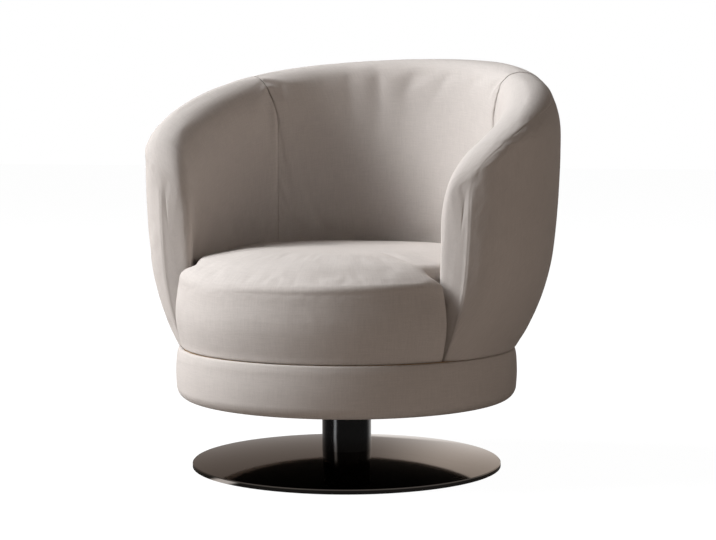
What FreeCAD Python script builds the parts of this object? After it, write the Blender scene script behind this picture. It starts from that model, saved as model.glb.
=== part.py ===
import FreeCAD, Part
import math
import os

# A swivel lounge chair: an upholstered tub on a round padded plinth that turns on a column over a domed disc.
# Millimetres. +Z is up, the origin is on the floor under the middle of the disc, and the sitter faces -Y.
# Angles round the tub are measured from the back (+Y) towards the sitter's left arm (+X).

# Base disc, a shallow dome that is hollow between its rim and its boss, the felt glued under it and the column
disc_radius = 291.5
disc_rim_height = 8.0
disc_bevel = 1.5
disc_dome = 22.0
disc_shell = 5.0
disc_rim_width = 29.0
disc_boss_radius = 60.0
disc_seat_margin = 2.0
felt_inset = 9.0
felt_thickness = 2.0
column_radius = 46.5
column_wall = 3.0
column_foot_thickness = 8.0
base_screw_radius = 4.0
base_screw_head_radius = 8.0
base_screw_head_height = 4.0
base_screw_count = 4
base_screw_circle = 26.0

# Swivel bearing
spindle_radius = 12.5
spindle_tail = 7.0
bush_wall = 4.0
bush_length = 22.0
housing_wall = 6.0
housing_length = 110.0
housing_flange = 6.0
housing_foot = 8.0
race_inner_radius = 16.0
race_outer_radius = 42.0
race_thickness = 4.0
ball_radius = 4.0
ball_circle = 29.0
ball_count = 14
groove_depth = 1.2
cage_thickness = 3.0
cage_margin = 2.4
retainer_washer_radius = 20.0
retainer_washer_thickness = 2.0
clip_thickness = 1.1
clip_width = 5.0
clip_seat_depth = 1.0
clip_opening = 40.0

# Swivel plate and its fasteners
plate_radius = 100.0
plate_thickness = 6.0
plate_bolt_circle = 80.0
plate_bolt_count = 4
plate_bolt_radius = 4.0
plate_bolt_head_radius = 7.5
plate_bolt_head_height = 5.5
plate_washer_radius = 8.5
plate_washer_thickness = 1.5
tee_nut_barrel_radius = 5.2
tee_nut_barrel_length = 10.0
tee_nut_flange_radius = 11.0
tee_nut_flange_thickness = 1.5

# Plinth: two plywood boards with a bent ring between them, foam band, fabric and dust cover
plinth_bottom = 134.0
seam_height = 229.0
plinth_swell = 5.5
plinth_shoulder_inset = 1.0
plinth_lower_round = 22.0
plinth_upper_round = 20.0
plinth_lip_width = 49.5
board_inset = 8.0
board_thickness = 18.0
lower_board_thickness = 12.0
lower_board_hole_radius = 150.0
plinth_ring_wall = 12.0
dust_cover_thickness = 1.0
dust_cover_hole_gap = 3.5

# Tub: the fabric's outer face, its widths outwards from the inside radius and heights above the floor
tub_inner_radius = 287.0
tub_foot_width = 27.0
tub_wall_width = 104.5
tub_shift = 19.6
back_height = 780.0
rim_fall = 151.6
rim_bulge = 50.3
widest_height_back = 635.0
widest_height_front = 615.0
outer_roll_back = 94.0
outer_roll_front = 25.4
inner_roll_drop_back = 85.0
inner_roll_drop_front = 117.0
seam_angle = 53.0
nose_base = 140.0
nose_depth = 21.0
nose_drop = 50.0
nose_seam_share = 0.8
nose_ridge_share = 0.45
nose_squareness = 2.55
roll_height_share = 0.8
foot_lean = 1.41

# Tub frame
frame_thickness = 16.0
frame_top_width = 30.0
frame_top_inset = 45.0
frame_end_angle = 113.0
crest_foam = 55.0
bottom_rail_height = 18.0
top_rail_thickness = 18.0
top_rail_width = 20.0
top_rail_gap = 7.0
rail_end_gap = 1.0
upright_thickness = 18.0
upright_spacing = 36.0
upright_pairs = 3
upright_gap = 0.4
tub_screw_radius = 2.5
tub_screw_head_radius = 5.0
tub_screw_head_height = 3.0
tub_screw_length = 34.0

# Seat
seat_overhang = 1.0
seat_front_height = 387.0
seat_crown = 26.0
seat_edge_round = 42.0
seat_tuck_share = 0.985
seat_waist_share = 0.997
seat_waist_rise = 26.0
seat_edge_share = 0.1
seat_ring_inset = 19.0
seat_ring_wall = 18.0
seat_ring_height = 33.0
strap_width = 50.0
strap_pitch = 96.0
strap_count = 5
strap_thickness = 1.5

# Upholstery thickness and clearances
fabric = 2.0
soft_gap = 0.3
pad_gap = 0.6
seam_stitch = 0.8
seat_gap = 1.5
fit_gap = 0.1
running_gap = 0.05
ball_gap = 0.3
bolt_hole_gap = 0.5
washer_gap = 0.3
end_float = 0.3

# Radii worked out from the sizes above
seam_radius = tub_inner_radius + tub_foot_width
tub_radius = tub_inner_radius + tub_wall_width
plinth_radius = seam_radius + plinth_swell
plinth_shoulder_radius = seam_radius - plinth_shoulder_inset
plinth_lip_radius = plinth_radius - plinth_lip_width
board_radius = seam_radius - board_inset
seat_front_radius = seam_radius + seat_overhang
seat_ring_radius = tub_inner_radius - seat_ring_inset
frame_top_radius = tub_inner_radius + frame_top_inset

# Heights worked out from the sizes above
disc_bottom = felt_thickness
disc_rim_top = disc_bottom + disc_rim_height
disc_seat_radius = column_radius + disc_seat_margin
disc_top = disc_rim_top + disc_dome * (1.0 - (disc_seat_radius / disc_radius) ** 2)
board_bottom = seam_height - board_thickness
plate_bottom = board_bottom - plate_thickness
upper_race_bottom = plate_bottom - race_thickness
lower_race_top = upper_race_bottom - 2.0 * (ball_radius - groove_depth + ball_gap)
housing_top = lower_race_top - race_thickness
column_top = housing_top - housing_flange
housing_bottom = column_top - housing_length
lower_board_bottom = plinth_bottom + fabric + soft_gap
ball_centre = 0.5 * (upper_race_bottom + lower_race_top)
bottom_rail_top = seam_height + bottom_rail_height
strap_bottom = seam_height + seat_ring_height
seat_side_radius = tub_inner_radius - seat_gap
seat_shoulder = nose_base + nose_depth + seat_gap
clear_share = seat_side_radius / seat_front_radius
seat_waist = seam_height + seat_waist_rise
soft_bottom = seam_height + soft_gap

# How finely the soft forms are drawn, and how far a tool passes what it cuts
station_spacing = 6.0
tool_overrun = 1.0
cutter_overlap = 2.0
cutter_sink_share = 0.15

parts = {}


def vector(x, y, z):
    return FreeCAD.Vector(x, y, z)


def blend(a, b, share):
    return a + (b - a) * share


def cylinder(radius, bottom, top, x=0.0, y=0.0):
    return Part.makeCylinder(radius, top - bottom, vector(x, y, bottom))


def drill(radius, bottom, top, x=0.0, y=0.0):
    """A cutting tool that passes both ends of its hole."""
    return cylinder(radius, bottom - tool_overrun, top + tool_overrun, x, y)


def sleeve(outer, inner, bottom, top, x=0.0, y=0.0):
    return cylinder(outer, bottom, top, x, y).cut(drill(inner, bottom, top, x, y))


def around(count, radius, start=0.0):
    """Points evenly spaced on a circle about the swivel axis."""
    places = []
    for i in range(count):
        turn = math.radians(start + 360.0 * i / count)
        places.append((radius * math.sin(turn), radius * math.cos(turn)))
    return places


def group(shapes):
    return Part.makeCompound(shapes)


def cut_all(shape, tools):
    for tool in tools:
        shape = shape.cut(tool)
    return shape


def turned(edges):
    """Revolves a closed outline of (radius, height) edges about the swivel axis."""
    wire = Part.Wire(outline_edges(edges, lambda p: vector(p[0], 0.0, p[1])))
    return Part.Face(wire).revolve(vector(0, 0, 0), vector(0, 0, 1), 360)


def outline_edges(edges, place):
    """Lines are pairs of flat points and arcs are threes, and place puts a flat point in space."""
    made = []
    for edge in edges:
        spots = [place(p) for p in edge]
        if len(spots) == 2:
            made.append(Part.LineSegment(spots[0], spots[1]).toShape())
        else:
            made.append(Part.Arc(spots[0], spots[1], spots[2]).toShape())
    return made


def polygon(points):
    return [(points[i], points[(i + 1) % len(points)]) for i in range(len(points))]


def unit(x, y):
    length = math.hypot(x, y)
    return x / length, y / length


def tangent_arc(start, tangent, end):
    """The arc from start to end that leaves start along the tangent."""
    chord = (end[0] - start[0], end[1] - start[1])
    normal = (-tangent[1], tangent[0])
    across = chord[0] * normal[0] + chord[1] * normal[1]
    radius = (chord[0] ** 2 + chord[1] ** 2) / (2.0 * across)
    centre = (start[0] + normal[0] * radius, start[1] + normal[1] * radius)
    middle = ((start[0] + end[0]) / 2.0, (start[1] + end[1]) / 2.0)
    way = unit(middle[0] - centre[0], middle[1] - centre[1])
    reach = abs(radius)
    return (start, (centre[0] + way[0] * reach, centre[1] + way[1] * reach), end)


def soft_corner(start, start_way, end, end_way):
    """Two arcs, tangent to each other, from start to end along the two ways."""
    gap = (end[0] - start[0], end[1] - start[1])
    ways = (start_way[0] + end_way[0], start_way[1] + end_way[1])
    along = gap[0] * ways[0] + gap[1] * ways[1]
    square = gap[0] ** 2 + gap[1] ** 2
    spread = 2.0 - 2.0 * (start_way[0] * end_way[0] + start_way[1] * end_way[1])
    step = (-along + math.sqrt(along ** 2 + spread * square)) / spread
    first = (start[0] + start_way[0] * step, start[1] + start_way[1] * step)
    second = (end[0] - end_way[0] * step, end[1] - end_way[1] * step)
    joint = ((first[0] + second[0]) / 2.0, (first[1] + second[1]) / 2.0)
    back_arc = tangent_arc(end, (-end_way[0], -end_way[1]), joint)
    return [tangent_arc(start, start_way, joint), (joint, back_arc[1], end)]


# The tub's shape

front_angle = math.degrees(math.acos(-nose_base / tub_inner_radius))
wall_middle = (tub_radius - tub_inner_radius) / 2.0

# In a wall outline, the edge from the outside's widest place to the rim seam comes after the two below it
rim_edge = 2


def rim_height(cosine):
    return back_height - rim_fall * (1.0 - cosine) + rim_bulge * (1.0 - cosine ** 2)


def reach(foot, way, radius):
    """How far a ray from the inner face runs to a circle about the swivel axis."""
    along = foot[0] * way[0] + foot[1] * way[1]
    return -along + math.sqrt(along ** 2 - foot[0] ** 2 - foot[1] ** 2 + radius ** 2)


class Station:
    """One upright plane through the tub wall. Flat points are (distance from the inner face, height).

    The planes point away from the swivel axis as far as the sides, and straight sideways along the arms.
    """

    def __init__(self, angle, nose=0.0):
        self.nose = nose
        self.angle = angle
        self.plane = min(angle, 90.0)

    def foot_and_way(self, inset):
        angle = self.angle
        if self.nose > 0.0:
            forward = nose_base + (nose_depth - inset) * self.nose
            angle = math.degrees(math.acos(-forward / tub_inner_radius))
        turn = math.radians(angle)
        plane = math.radians(self.plane)
        foot = (tub_inner_radius * math.sin(turn), tub_inner_radius * math.cos(turn))
        return foot, (math.sin(plane), math.cos(plane))

    def place(self, inset):
        foot, way = self.foot_and_way(inset)

        def spot(p):
            return vector(foot[0] + way[0] * p[0], foot[1] + way[1] * p[0], p[1])

        return spot

    def edges(self, inset, bottom):
        """The wall's outline at this plane, a distance inset inside the visible surface."""
        foot, way = self.foot_and_way(inset)
        middle = (foot[0] + way[0] * wall_middle, foot[1] + way[1] * wall_middle)
        cosine = middle[1] / math.hypot(middle[0], middle[1])
        front = (1.0 - cosine) / (1.0 - math.cos(math.radians(front_angle)))
        full = reach(foot, way, tub_radius + tub_shift * cosine)
        crest = full - blend(outer_roll_back, outer_roll_front, front)
        wide = full - inset
        seam = reach(foot, way, seam_radius) - inset
        outer_share = math.sqrt(1.0 - self.nose ** 2)
        inner_share = (1.0 - self.nose ** nose_squareness) ** (1.0 / nose_squareness)
        ridge = nose_ridge_share * full
        ridge_low = nose_ridge_share * reach(foot, way, seam_radius)
        wide = blend(ridge, wide, outer_share)
        crest = blend(ridge, crest, outer_share)
        seam = blend(ridge_low, seam, outer_share)
        inner = blend(ridge, inset, inner_share)
        inner_low = blend(ridge_low, inset, inner_share)
        top = rim_height(cosine) - inset - nose_drop * (1.0 - outer_share)
        widest = blend(widest_height_back, widest_height_front, front)
        widest = min(widest, top - roll_height_share * (wide - crest))
        turn_in = top - blend(inner_roll_drop_back, inner_roll_drop_front, front)
        up = (0.0, 1.0)
        inward = (-1.0, 0.0)
        down = (0.0, -1.0)
        lean = foot_lean * 2.0 * math.atan2(wide - seam, widest - bottom)
        lower = soft_corner((wide, widest), down, (seam, bottom), (-math.sin(lean), -math.cos(lean)))
        outside = [tuple(reversed(edge)) for edge in reversed(lower)]
        over = soft_corner((wide, widest), up, (crest, top), inward)
        inside = soft_corner((crest, top), inward, (inner, turn_in), down)
        return outside + over + inside + [((inner, turn_in), (inner_low, bottom))]


def side_stations(start):
    """Stations from a start angle to the plane where the arm's front begins to round."""
    steps = int(round((front_angle - start) / station_spacing))
    return [Station(blend(start, front_angle, i / steps)) for i in range(steps + 1)]


def nose_stations(last_nose=1.0):
    """Stations over the rounded front of an arm, up to a share of its depth."""
    shares = [nose for nose in (0.0, 0.35, 0.6, nose_seam_share, 0.92, 0.98) if nose <= last_nose]
    return [Station(front_angle, nose) for nose in shares]


def back_stations(reach_angle):
    count = 1 + 2 * int(round(reach_angle / station_spacing))
    return [Station(blend(-reach_angle, reach_angle, i / (count - 1.0))) for i in range(count)]


def loft(wires):
    """A smooth solid through the wires, of low degree so that it stays close to them."""
    shape = Part.makeLoft(wires, True, False, False, 3)
    if shape.Volume < 0.0:
        shape.reverse()
    return shape


def wall_loft(stations, inset, bottom):
    """The whole thickness of the wall through the stations."""
    wires = []
    for station in stations:
        edges = station.edges(inset, bottom)
        edges.append((edges[-1][1], edges[0][0]))
        wires.append(Part.Wire(outline_edges(edges, station.place(inset))))
    return loft(wires)


def arm_wall(start, inset, bottom):
    """The left arm's wall with its rounded front."""
    wall = wall_loft(side_stations(start), inset, bottom)
    return wall.fuse(wall_loft(nose_stations(), inset, bottom))


def short_of(edges):
    """The outline's outside edges, stopped a stitch short of the rim seam."""
    wide = edges[rim_edge][0]
    joint = edges[rim_edge][-1]
    way = unit(wide[0] - joint[0], wide[1] - joint[1])
    stop = (joint[0] + way[0] * seam_stitch, joint[1] + way[1] * seam_stitch)
    return edges[:rim_edge] + [tangent_arc(wide, (0.0, 1.0), stop)]


def band_edges(station, outside, bottom):
    """A sheet of fabric outside or inside the rim seam, from the visible surface inwards."""
    outer = station.edges(0.0, bottom)
    inner = station.edges(fabric, bottom)
    outer = short_of(outer) if outside else outer[rim_edge + 1:]
    inner = short_of(inner) if outside else inner[rim_edge + 1:]
    back = [tuple(reversed(edge)) for edge in reversed(inner)]
    return outer + [(outer[-1][-1], back[0][0])] + back + [(back[-1][-1], outer[0][0])]


def band_loft(stations, outside, bottom):
    wires = []
    for station in stations:
        edges = band_edges(station, outside, bottom)
        wires.append(Part.Wire(outline_edges(edges, station.place(0.0))))
    return loft(wires)


def mirrored(shape):
    return shape.mirror(vector(0, 0, 0), vector(1, 0, 0))


# Tub frame: one leaning slot through the foam holds the rails and the uprights

frame_inner = 0.5 * (tub_inner_radius + seam_radius - frame_thickness)


def frame_outline(cosine, gap):
    """The slot's outline in a plane through the swivel axis, grown by a gap. It leans between the rails."""
    low = frame_inner - gap
    low_out = frame_inner + frame_thickness + gap
    middle = frame_top_radius + tub_shift * cosine
    top = rim_height(cosine) - crest_foam + gap
    high = middle - frame_top_width / 2.0 - gap
    high_out = middle + frame_top_width / 2.0 + gap
    foot = seam_height - tool_overrun
    rail = bottom_rail_top
    neck = top - rim_bulge - 2.0 * top_rail_thickness
    return [(low, foot), (low_out, foot), (low_out, rail), (high_out, neck), (high_out, top), (high, top),
            (high, neck), (low, rail)]


def radial_place(angle):
    turn = math.radians(angle)

    def spot(p):
        return vector(p[0] * math.sin(turn), p[0] * math.cos(turn), p[1])

    return spot


def frame_slot():
    wires = []
    count = 17
    for i in range(count):
        angle = blend(-frame_end_angle, frame_end_angle, i / (count - 1.0))
        points = frame_outline(math.cos(math.radians(angle)), soft_gap + fit_gap)
        wires.append(Part.Wire(outline_edges(polygon(points), radial_place(angle))))
    return loft(wires)


def sector(radius, bottom, top, angle):
    """A pie slice about the swivel axis, the angle to each side of the back."""
    edge = math.radians(angle)
    tip = vector(0, 0, bottom)
    left = vector(-radius * math.sin(edge), radius * math.cos(edge), bottom)
    right = vector(radius * math.sin(edge), radius * math.cos(edge), bottom)
    arc = Part.Arc(left, vector(0, radius, bottom), right).toShape()
    wire = Part.Wire([Part.LineSegment(tip, left).toShape(), arc, Part.LineSegment(right, tip).toShape()])
    return Part.Face(wire).extrude(vector(0, 0, top - bottom))


rail_reach = frame_top_radius
rail_end_angle = frame_end_angle - rail_end_gap
rail_back = tub_shift + rail_reach
rail_end_cosine = math.cos(math.radians(frame_end_angle))
rail_front = tub_shift + rail_reach * rail_end_cosine
rail_slope = (rim_height(1.0) - rim_height(rail_end_cosine)) / (rail_back - rail_front)
rail_tilt = math.atan(rail_slope)
rail_top_back = back_height - crest_foam - top_rail_gap


def above_plane(drop):
    """Everything above the top rail's sloping plane, lowered by a drop square to it."""
    height = rail_top_back - rail_slope * rail_back - drop / math.cos(rail_tilt)
    size = 4.0 * tub_radius
    block = Part.makeBox(size, size, size, vector(-size / 2.0, -size / 2.0, 0.0))
    block.rotate(vector(0, 0, 0), vector(1, 0, 0), math.degrees(rail_tilt))
    block.translate(vector(0, 0, height))
    return block


def make_top_rail():
    half = top_rail_width / 2.0
    ring = sleeve(rail_reach + half, rail_reach - half, seam_height, back_height, 0.0, tub_shift)
    rail = ring.common(sector(2.0 * tub_radius, seam_height, back_height, rail_end_angle))
    return rail.common(above_plane(top_rail_thickness)).cut(above_plane(0.0))


def make_upright(angle):
    """One plywood board from the bottom rail to the top rail, its faces inside the slot."""
    points = frame_outline(math.cos(math.radians(angle)), -upright_gap)[2:]
    face = Part.Face(Part.Wire(outline_edges(polygon(points), radial_place(angle))))
    turn = math.radians(angle)
    across = vector(math.cos(turn) * upright_thickness, -math.sin(turn) * upright_thickness, 0)
    board = face.extrude(across)
    board.translate(across * -0.5)
    return board.cut(above_plane(top_rail_thickness))


tub_screw_spots = []
for pair in range(upright_pairs):
    for side in (-1.0, 1.0):
        turn = math.radians(side * (pair + 0.5) * upright_spacing)
        ring = frame_inner + frame_thickness / 2.0
        tub_screw_spots.append((ring * math.sin(turn), ring * math.cos(turn)))
tub_screw_bottom = bottom_rail_top - tub_screw_length


def make_bottom_rail():
    inner = frame_inner + fit_gap
    outer = frame_inner + frame_thickness - fit_gap
    ring = sleeve(outer, inner, seam_height, bottom_rail_top)
    rail = ring.common(sector(2.0 * tub_radius, seam_height, back_height, rail_end_angle))
    shank = tub_screw_radius + fit_gap
    holes = [drill(shank, seam_height, bottom_rail_top, x, y) for x, y in tub_screw_spots]
    return cut_all(rail, holes)


def make_tub_screws():
    screws = []
    for x, y in tub_screw_spots:
        shank = cylinder(tub_screw_radius, tub_screw_bottom, bottom_rail_top, x, y)
        head_top = bottom_rail_top + tub_screw_head_height
        screws.append(shank.fuse(cylinder(tub_screw_head_radius, bottom_rail_top, head_top, x, y)))
    return group(screws)


def tub_frame():
    parts["tub_bottom_rail"] = make_bottom_rail()
    parts["tub_top_rail"] = make_top_rail()
    parts["tub_screws"] = make_tub_screws()
    parts["upright_back"] = make_upright(0.0)
    for pair in range(1, upright_pairs + 1):
        parts["upright_left_%d" % pair] = make_upright(pair * upright_spacing)
        parts["upright_right_%d" % pair] = make_upright(-pair * upright_spacing)


def tub_padding():
    """Foam over the whole wall, in three pads that meet at the inside seams."""
    slot = frame_slot()
    inset = fabric + pad_gap
    arm = arm_wall(seam_angle, inset, soft_bottom).cut(slot)
    parts["back_pad"] = wall_loft(back_stations(seam_angle), inset, soft_bottom).cut(slot)
    parts["arm_pad_left"] = arm
    parts["arm_pad_right"] = mirrored(arm)


def outside_cutter(stations):
    """Everything outside the middle of the wall and below the rim seam."""
    wires = []
    for station in stations:
        edges = station.edges(0.0, soft_bottom)
        joint = edges[rim_edge][-1]
        wide = edges[rim_edge][0]
        low = edges[0][0]
        way = unit(joint[0] - edges[rim_edge + 1][-1][0], joint[1] - wide[1])
        sink = cutter_sink_share * wide[0]
        inner_joint = (joint[0] - way[0] * sink, joint[1] - way[1] * sink)
        outer_joint = (joint[0] + way[0] * sink, joint[1] + way[1] * sink)
        base = seam_height - cutter_overlap
        points = [inner_joint, (0.5 * low[0], base), (wide[0] + 2.0 * sink, base), outer_joint]
        wires.append(Part.Wire(outline_edges(polygon(points), station.place(0.0))))
    return loft(wires)


def tub_covers():
    """Sewn fabric: an inside and an outside panel for the back and for each arm, joined at the rim seam."""
    back = back_stations(seam_angle)
    parts["inside_back_cover"] = band_loft(back, False, soft_bottom)
    parts["outside_back_cover"] = band_loft(back, True, soft_bottom)
    shell = arm_wall(seam_angle, 0.0, soft_bottom).cut(arm_wall(seam_angle, fabric, soft_bottom))
    start = seam_angle - cutter_overlap
    outside = outside_cutter(side_stations(start) + nose_stations(nose_seam_share)[1:])
    inside_panel = shell.cut(outside)
    outside_panel = shell.common(outside)
    parts["inside_arm_cover_left"] = inside_panel
    parts["inside_arm_cover_right"] = mirrored(inside_panel)
    parts["outside_arm_cover_left"] = outside_panel
    parts["outside_arm_cover_right"] = mirrored(outside_panel)


# Seat cushion: a round cushion whose front widens past the arms to the plinth's edge

def seat_wire(height, share, inset):
    side = (seat_side_radius - inset) * share
    front = (seat_front_radius - inset) * share
    shoulder = (seat_shoulder + inset) * min(1.0, share / clear_share)
    inner = (math.sqrt(side ** 2 - shoulder ** 2), -shoulder)
    outer = (math.sqrt(front ** 2 - shoulder ** 2), -shoulder)
    turn = 0.5 * math.atan2(inner[0], inner[1])
    flank = (side * math.sin(turn), side * math.cos(turn))
    corner = unit(outer[0], outer[1] - front)
    bow = (front * corner[0], front * corner[1])
    tip = (0.0, -front)
    back = (0.0, side)
    left = lambda p: (-p[0], p[1])
    edges = [(outer, bow, tip), (tip, left(bow), left(outer)), (left(outer), left(inner))]
    edges += [(left(inner), left(flank), back), (back, flank, inner), (inner, outer)]
    return Part.Wire(outline_edges(edges, lambda p: vector(p[0], p[1], height)))


def seat_loft(inset, bottom):
    """The side draws in at the seam, rounds over the edge and rises to a crown."""
    side_top = seat_front_height - seat_edge_round
    wires = [seat_wire(bottom, seat_tuck_share, inset), seat_wire(seat_waist, seat_waist_share, inset)]
    wires.append(seat_wire(0.5 * (seat_waist + side_top), 1.0, inset))
    for turn in (0.0, 30.0, 55.0, 75.0):
        rise = math.sin(math.radians(turn))
        share = 1.0 - seat_edge_share * (1.0 - math.cos(math.radians(turn)))
        wires.append(seat_wire(side_top + (seat_edge_round - inset) * rise, share, inset))
    base = seat_front_height - inset
    for share in (0.82, 0.66, 0.45, 0.2):
        rise = seat_crown * (1.0 - share ** 2)
        wires.append(seat_wire(base + rise, share, inset))
    return loft(wires)


def seat_parts():
    strap_top = strap_bottom + 2.0 * strap_thickness + soft_gap
    pocket = cylinder(seat_ring_radius + soft_gap, seam_height, strap_top + soft_gap)
    parts["seat_foam"] = seat_loft(fabric + soft_gap, soft_bottom).cut(pocket)
    parts["seat_cover"] = seat_loft(0.0, soft_bottom).cut(seat_loft(fabric, soft_bottom))
    ring_inner = seat_ring_radius - seat_ring_wall
    parts["seat_ring"] = sleeve(seat_ring_radius, ring_inner, seam_height, strap_bottom)
    bound = drill(seat_ring_radius - fit_gap, strap_bottom, strap_top)
    length = 2.0 * seat_ring_radius
    lower = []
    upper = []
    for i in range(strap_count):
        offset = (i - (strap_count - 1) / 2.0) * strap_pitch - strap_width / 2.0
        corner = vector(offset, -length / 2.0, strap_bottom)
        lower.append(Part.makeBox(strap_width, length, strap_thickness, corner).common(bound))
        corner = vector(-length / 2.0, offset, strap_bottom + strap_thickness + soft_gap)
        upper.append(Part.makeBox(length, strap_width, strap_thickness, corner).common(bound))
    parts["webbing_lengthwise"] = group(lower)
    parts["webbing_crosswise"] = group(upper)


# Plinth

def plinth_outline(inset):
    """The visible profile from the lip under the plinth round to the seam."""
    bottom = plinth_bottom + inset
    outer = plinth_radius - inset
    shoulder = plinth_shoulder_radius - inset
    top = seam_height - soft_gap - inset
    lower_start = (plinth_radius - plinth_lower_round, bottom)
    lower_end = (outer, plinth_bottom + plinth_lower_round)
    upper_start = (outer, seam_height - plinth_upper_round)
    out = (1.0, 0.0)
    up = (0.0, 1.0)
    edges = [((plinth_lip_radius, bottom), lower_start)]
    edges += soft_corner(lower_start, out, lower_end, up)
    edges.append((lower_end, upper_start))
    edges.append(tangent_arc(upper_start, up, (shoulder, top)))
    edges.append(((shoulder, top), (board_radius + soft_gap, top)))
    return edges


def plinth_inside(inset):
    """Everything inside the plinth's visible profile, a distance inset within it."""
    edges = plinth_outline(inset)
    top = edges[-1][-1]
    bottom = edges[0][0]
    edges += [(top, (0.0, top[1])), ((0.0, top[1]), (0.0, bottom[1])), ((0.0, bottom[1]), bottom)]
    return turned(edges)


def plinth_band():
    outer = plinth_outline(0.0)
    inner = plinth_outline(fabric)
    back = [tuple(reversed(edge)) for edge in reversed(inner)]
    closed = outer + [(outer[-1][-1], back[0][0])] + back + [(back[-1][-1], outer[0][0])]
    parts["plinth_cover"] = turned(closed)
    boards = cylinder(board_radius + soft_gap, 0.0, back_height)
    parts["plinth_pad"] = plinth_inside(fabric + soft_gap).cut(boards)


def plinth_boards():
    lower_top = lower_board_bottom + lower_board_thickness
    ring_inner = board_radius - plinth_ring_wall
    lower = sleeve(board_radius, lower_board_hole_radius, lower_board_bottom, lower_top)
    parts["plinth_lower_board"] = lower.common(plinth_inside(fabric + soft_gap))
    parts["plinth_ring"] = sleeve(board_radius, ring_inner, lower_top, board_bottom)
    board = cylinder(board_radius, board_bottom, seam_height)
    barrel = tee_nut_barrel_radius + fit_gap
    shank = tub_screw_radius + fit_gap
    holes = [drill(barrel, board_bottom, seam_height, x, y) for x, y in plate_bolt_spots]
    holes += [drill(shank, tub_screw_bottom, seam_height, x, y) for x, y in tub_screw_spots]
    parts["plinth_upper_board"] = cut_all(board, holes)
    hole = column_radius + dust_cover_hole_gap
    cover_top = lower_board_bottom - soft_gap
    cover_edge = plinth_lip_radius - soft_gap
    parts["dust_cover"] = sleeve(cover_edge, hole, cover_top - dust_cover_thickness, cover_top)


# Swivel plate and its fasteners

plate_bolt_spots = around(plate_bolt_count, plate_bolt_circle, 45.0)


def hexagon(radius, bottom, top, x, y):
    corners = []
    for i in range(6):
        turn = math.radians(60.0 * i)
        corners.append(vector(x + radius * math.cos(turn), y + radius * math.sin(turn), bottom))
    corners.append(corners[0])
    return Part.Face(Part.makePolygon(corners)).extrude(vector(0, 0, top - bottom))


def swivel_plate():
    plate = sleeve(plate_radius, spindle_radius + fit_gap, plate_bottom, board_bottom)
    wide = plate_bolt_radius + bolt_hole_gap
    holes = [drill(wide, plate_bottom, board_bottom, x, y) for x, y in plate_bolt_spots]
    parts["swivel_plate"] = cut_all(plate, holes)
    washer_bottom = plate_bottom - plate_washer_thickness
    head_bottom = washer_bottom - plate_bolt_head_height
    flange_top = seam_height + tee_nut_flange_thickness
    bolts = []
    washers = []
    nuts = []
    washer_hole = plate_bolt_radius + washer_gap
    for x, y in plate_bolt_spots:
        head = hexagon(plate_bolt_head_radius, head_bottom, washer_bottom, x, y)
        bolts.append(head.fuse(cylinder(plate_bolt_radius, washer_bottom, flange_top, x, y)))
        washers.append(sleeve(plate_washer_radius, washer_hole, washer_bottom, plate_bottom, x, y))
        barrel = cylinder(tee_nut_barrel_radius, seam_height - tee_nut_barrel_length, seam_height, x, y)
        flange = cylinder(tee_nut_flange_radius, seam_height, flange_top, x, y)
        bore = drill(plate_bolt_radius + fit_gap, board_bottom, flange_top, x, y)
        nuts.append(barrel.fuse(flange).cut(bore))
    parts["plate_bolts"] = group(bolts)
    parts["plate_washers"] = group(washers)
    parts["tee_nuts"] = group(nuts)


# Swivel bearing

def ball_groove(height):
    return Part.makeTorus(ball_circle, ball_radius + ball_gap, vector(0, 0, height))


def bearing():
    bore = spindle_radius + running_gap + bush_wall
    inner = column_radius - column_wall - fit_gap
    outer = bore + fit_gap + housing_wall
    top_flange = cylinder(column_radius, column_top, housing_top)
    foot = cylinder(inner, housing_bottom, housing_bottom + housing_foot)
    neck = cylinder(inner, column_top - housing_foot, column_top)
    body = cylinder(outer, housing_bottom, column_top).fuse(foot).fuse(neck).fuse(top_flange)
    parts["bearing_housing"] = body.cut(drill(bore + fit_gap, housing_bottom, housing_top))
    hole = spindle_radius + running_gap
    parts["upper_bush"] = sleeve(bore, hole, housing_top - bush_length, housing_top)
    parts["lower_bush"] = sleeve(bore, hole, housing_bottom, housing_bottom + bush_length)
    groove = ball_groove(ball_centre)
    lower = sleeve(race_outer_radius, race_inner_radius, housing_top, lower_race_top)
    parts["lower_race"] = lower.cut(groove)
    upper = sleeve(race_outer_radius, race_inner_radius, upper_race_bottom, plate_bottom)
    parts["upper_race"] = upper.cut(groove)
    spots = around(ball_count, ball_circle)
    half = cage_thickness / 2.0
    edge = ball_radius + cage_margin
    cage = sleeve(ball_circle + edge, ball_circle - edge, ball_centre - half, ball_centre + half)
    pockets = [Part.makeSphere(ball_radius + ball_gap, vector(x, y, ball_centre)) for x, y in spots]
    parts["ball_cage"] = cut_all(cage, pockets)
    balls = [Part.makeSphere(ball_radius, vector(x, y, ball_centre)) for x, y in spots]
    parts["bearing_balls"] = group(balls)


def spindle():
    washer_top = housing_bottom - end_float
    washer_bottom = washer_top - retainer_washer_thickness
    clip_top = washer_bottom - fit_gap
    clip_bottom = clip_top - clip_thickness
    tail = clip_bottom - spindle_tail
    shaft = cylinder(spindle_radius, tail, board_bottom)
    collar = cylinder(race_inner_radius - fit_gap, upper_race_bottom, plate_bottom)
    seat = spindle_radius - clip_seat_depth
    groove = sleeve(spindle_radius + tool_overrun, seat, clip_bottom - fit_gap, clip_top + fit_gap)
    parts["spindle"] = shaft.fuse(collar).cut(groove)
    hole = spindle_radius + fit_gap
    parts["retainer_washer"] = sleeve(retainer_washer_radius, hole, washer_bottom, washer_top)
    inner = seat + fit_gap
    ring = sleeve(inner + clip_width, inner, clip_bottom, clip_top)
    opening = sector(inner + 2.0 * clip_width, clip_bottom, clip_top, clip_opening / 2.0)
    parts["retaining_clip"] = ring.cut(opening)


# Base

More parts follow.
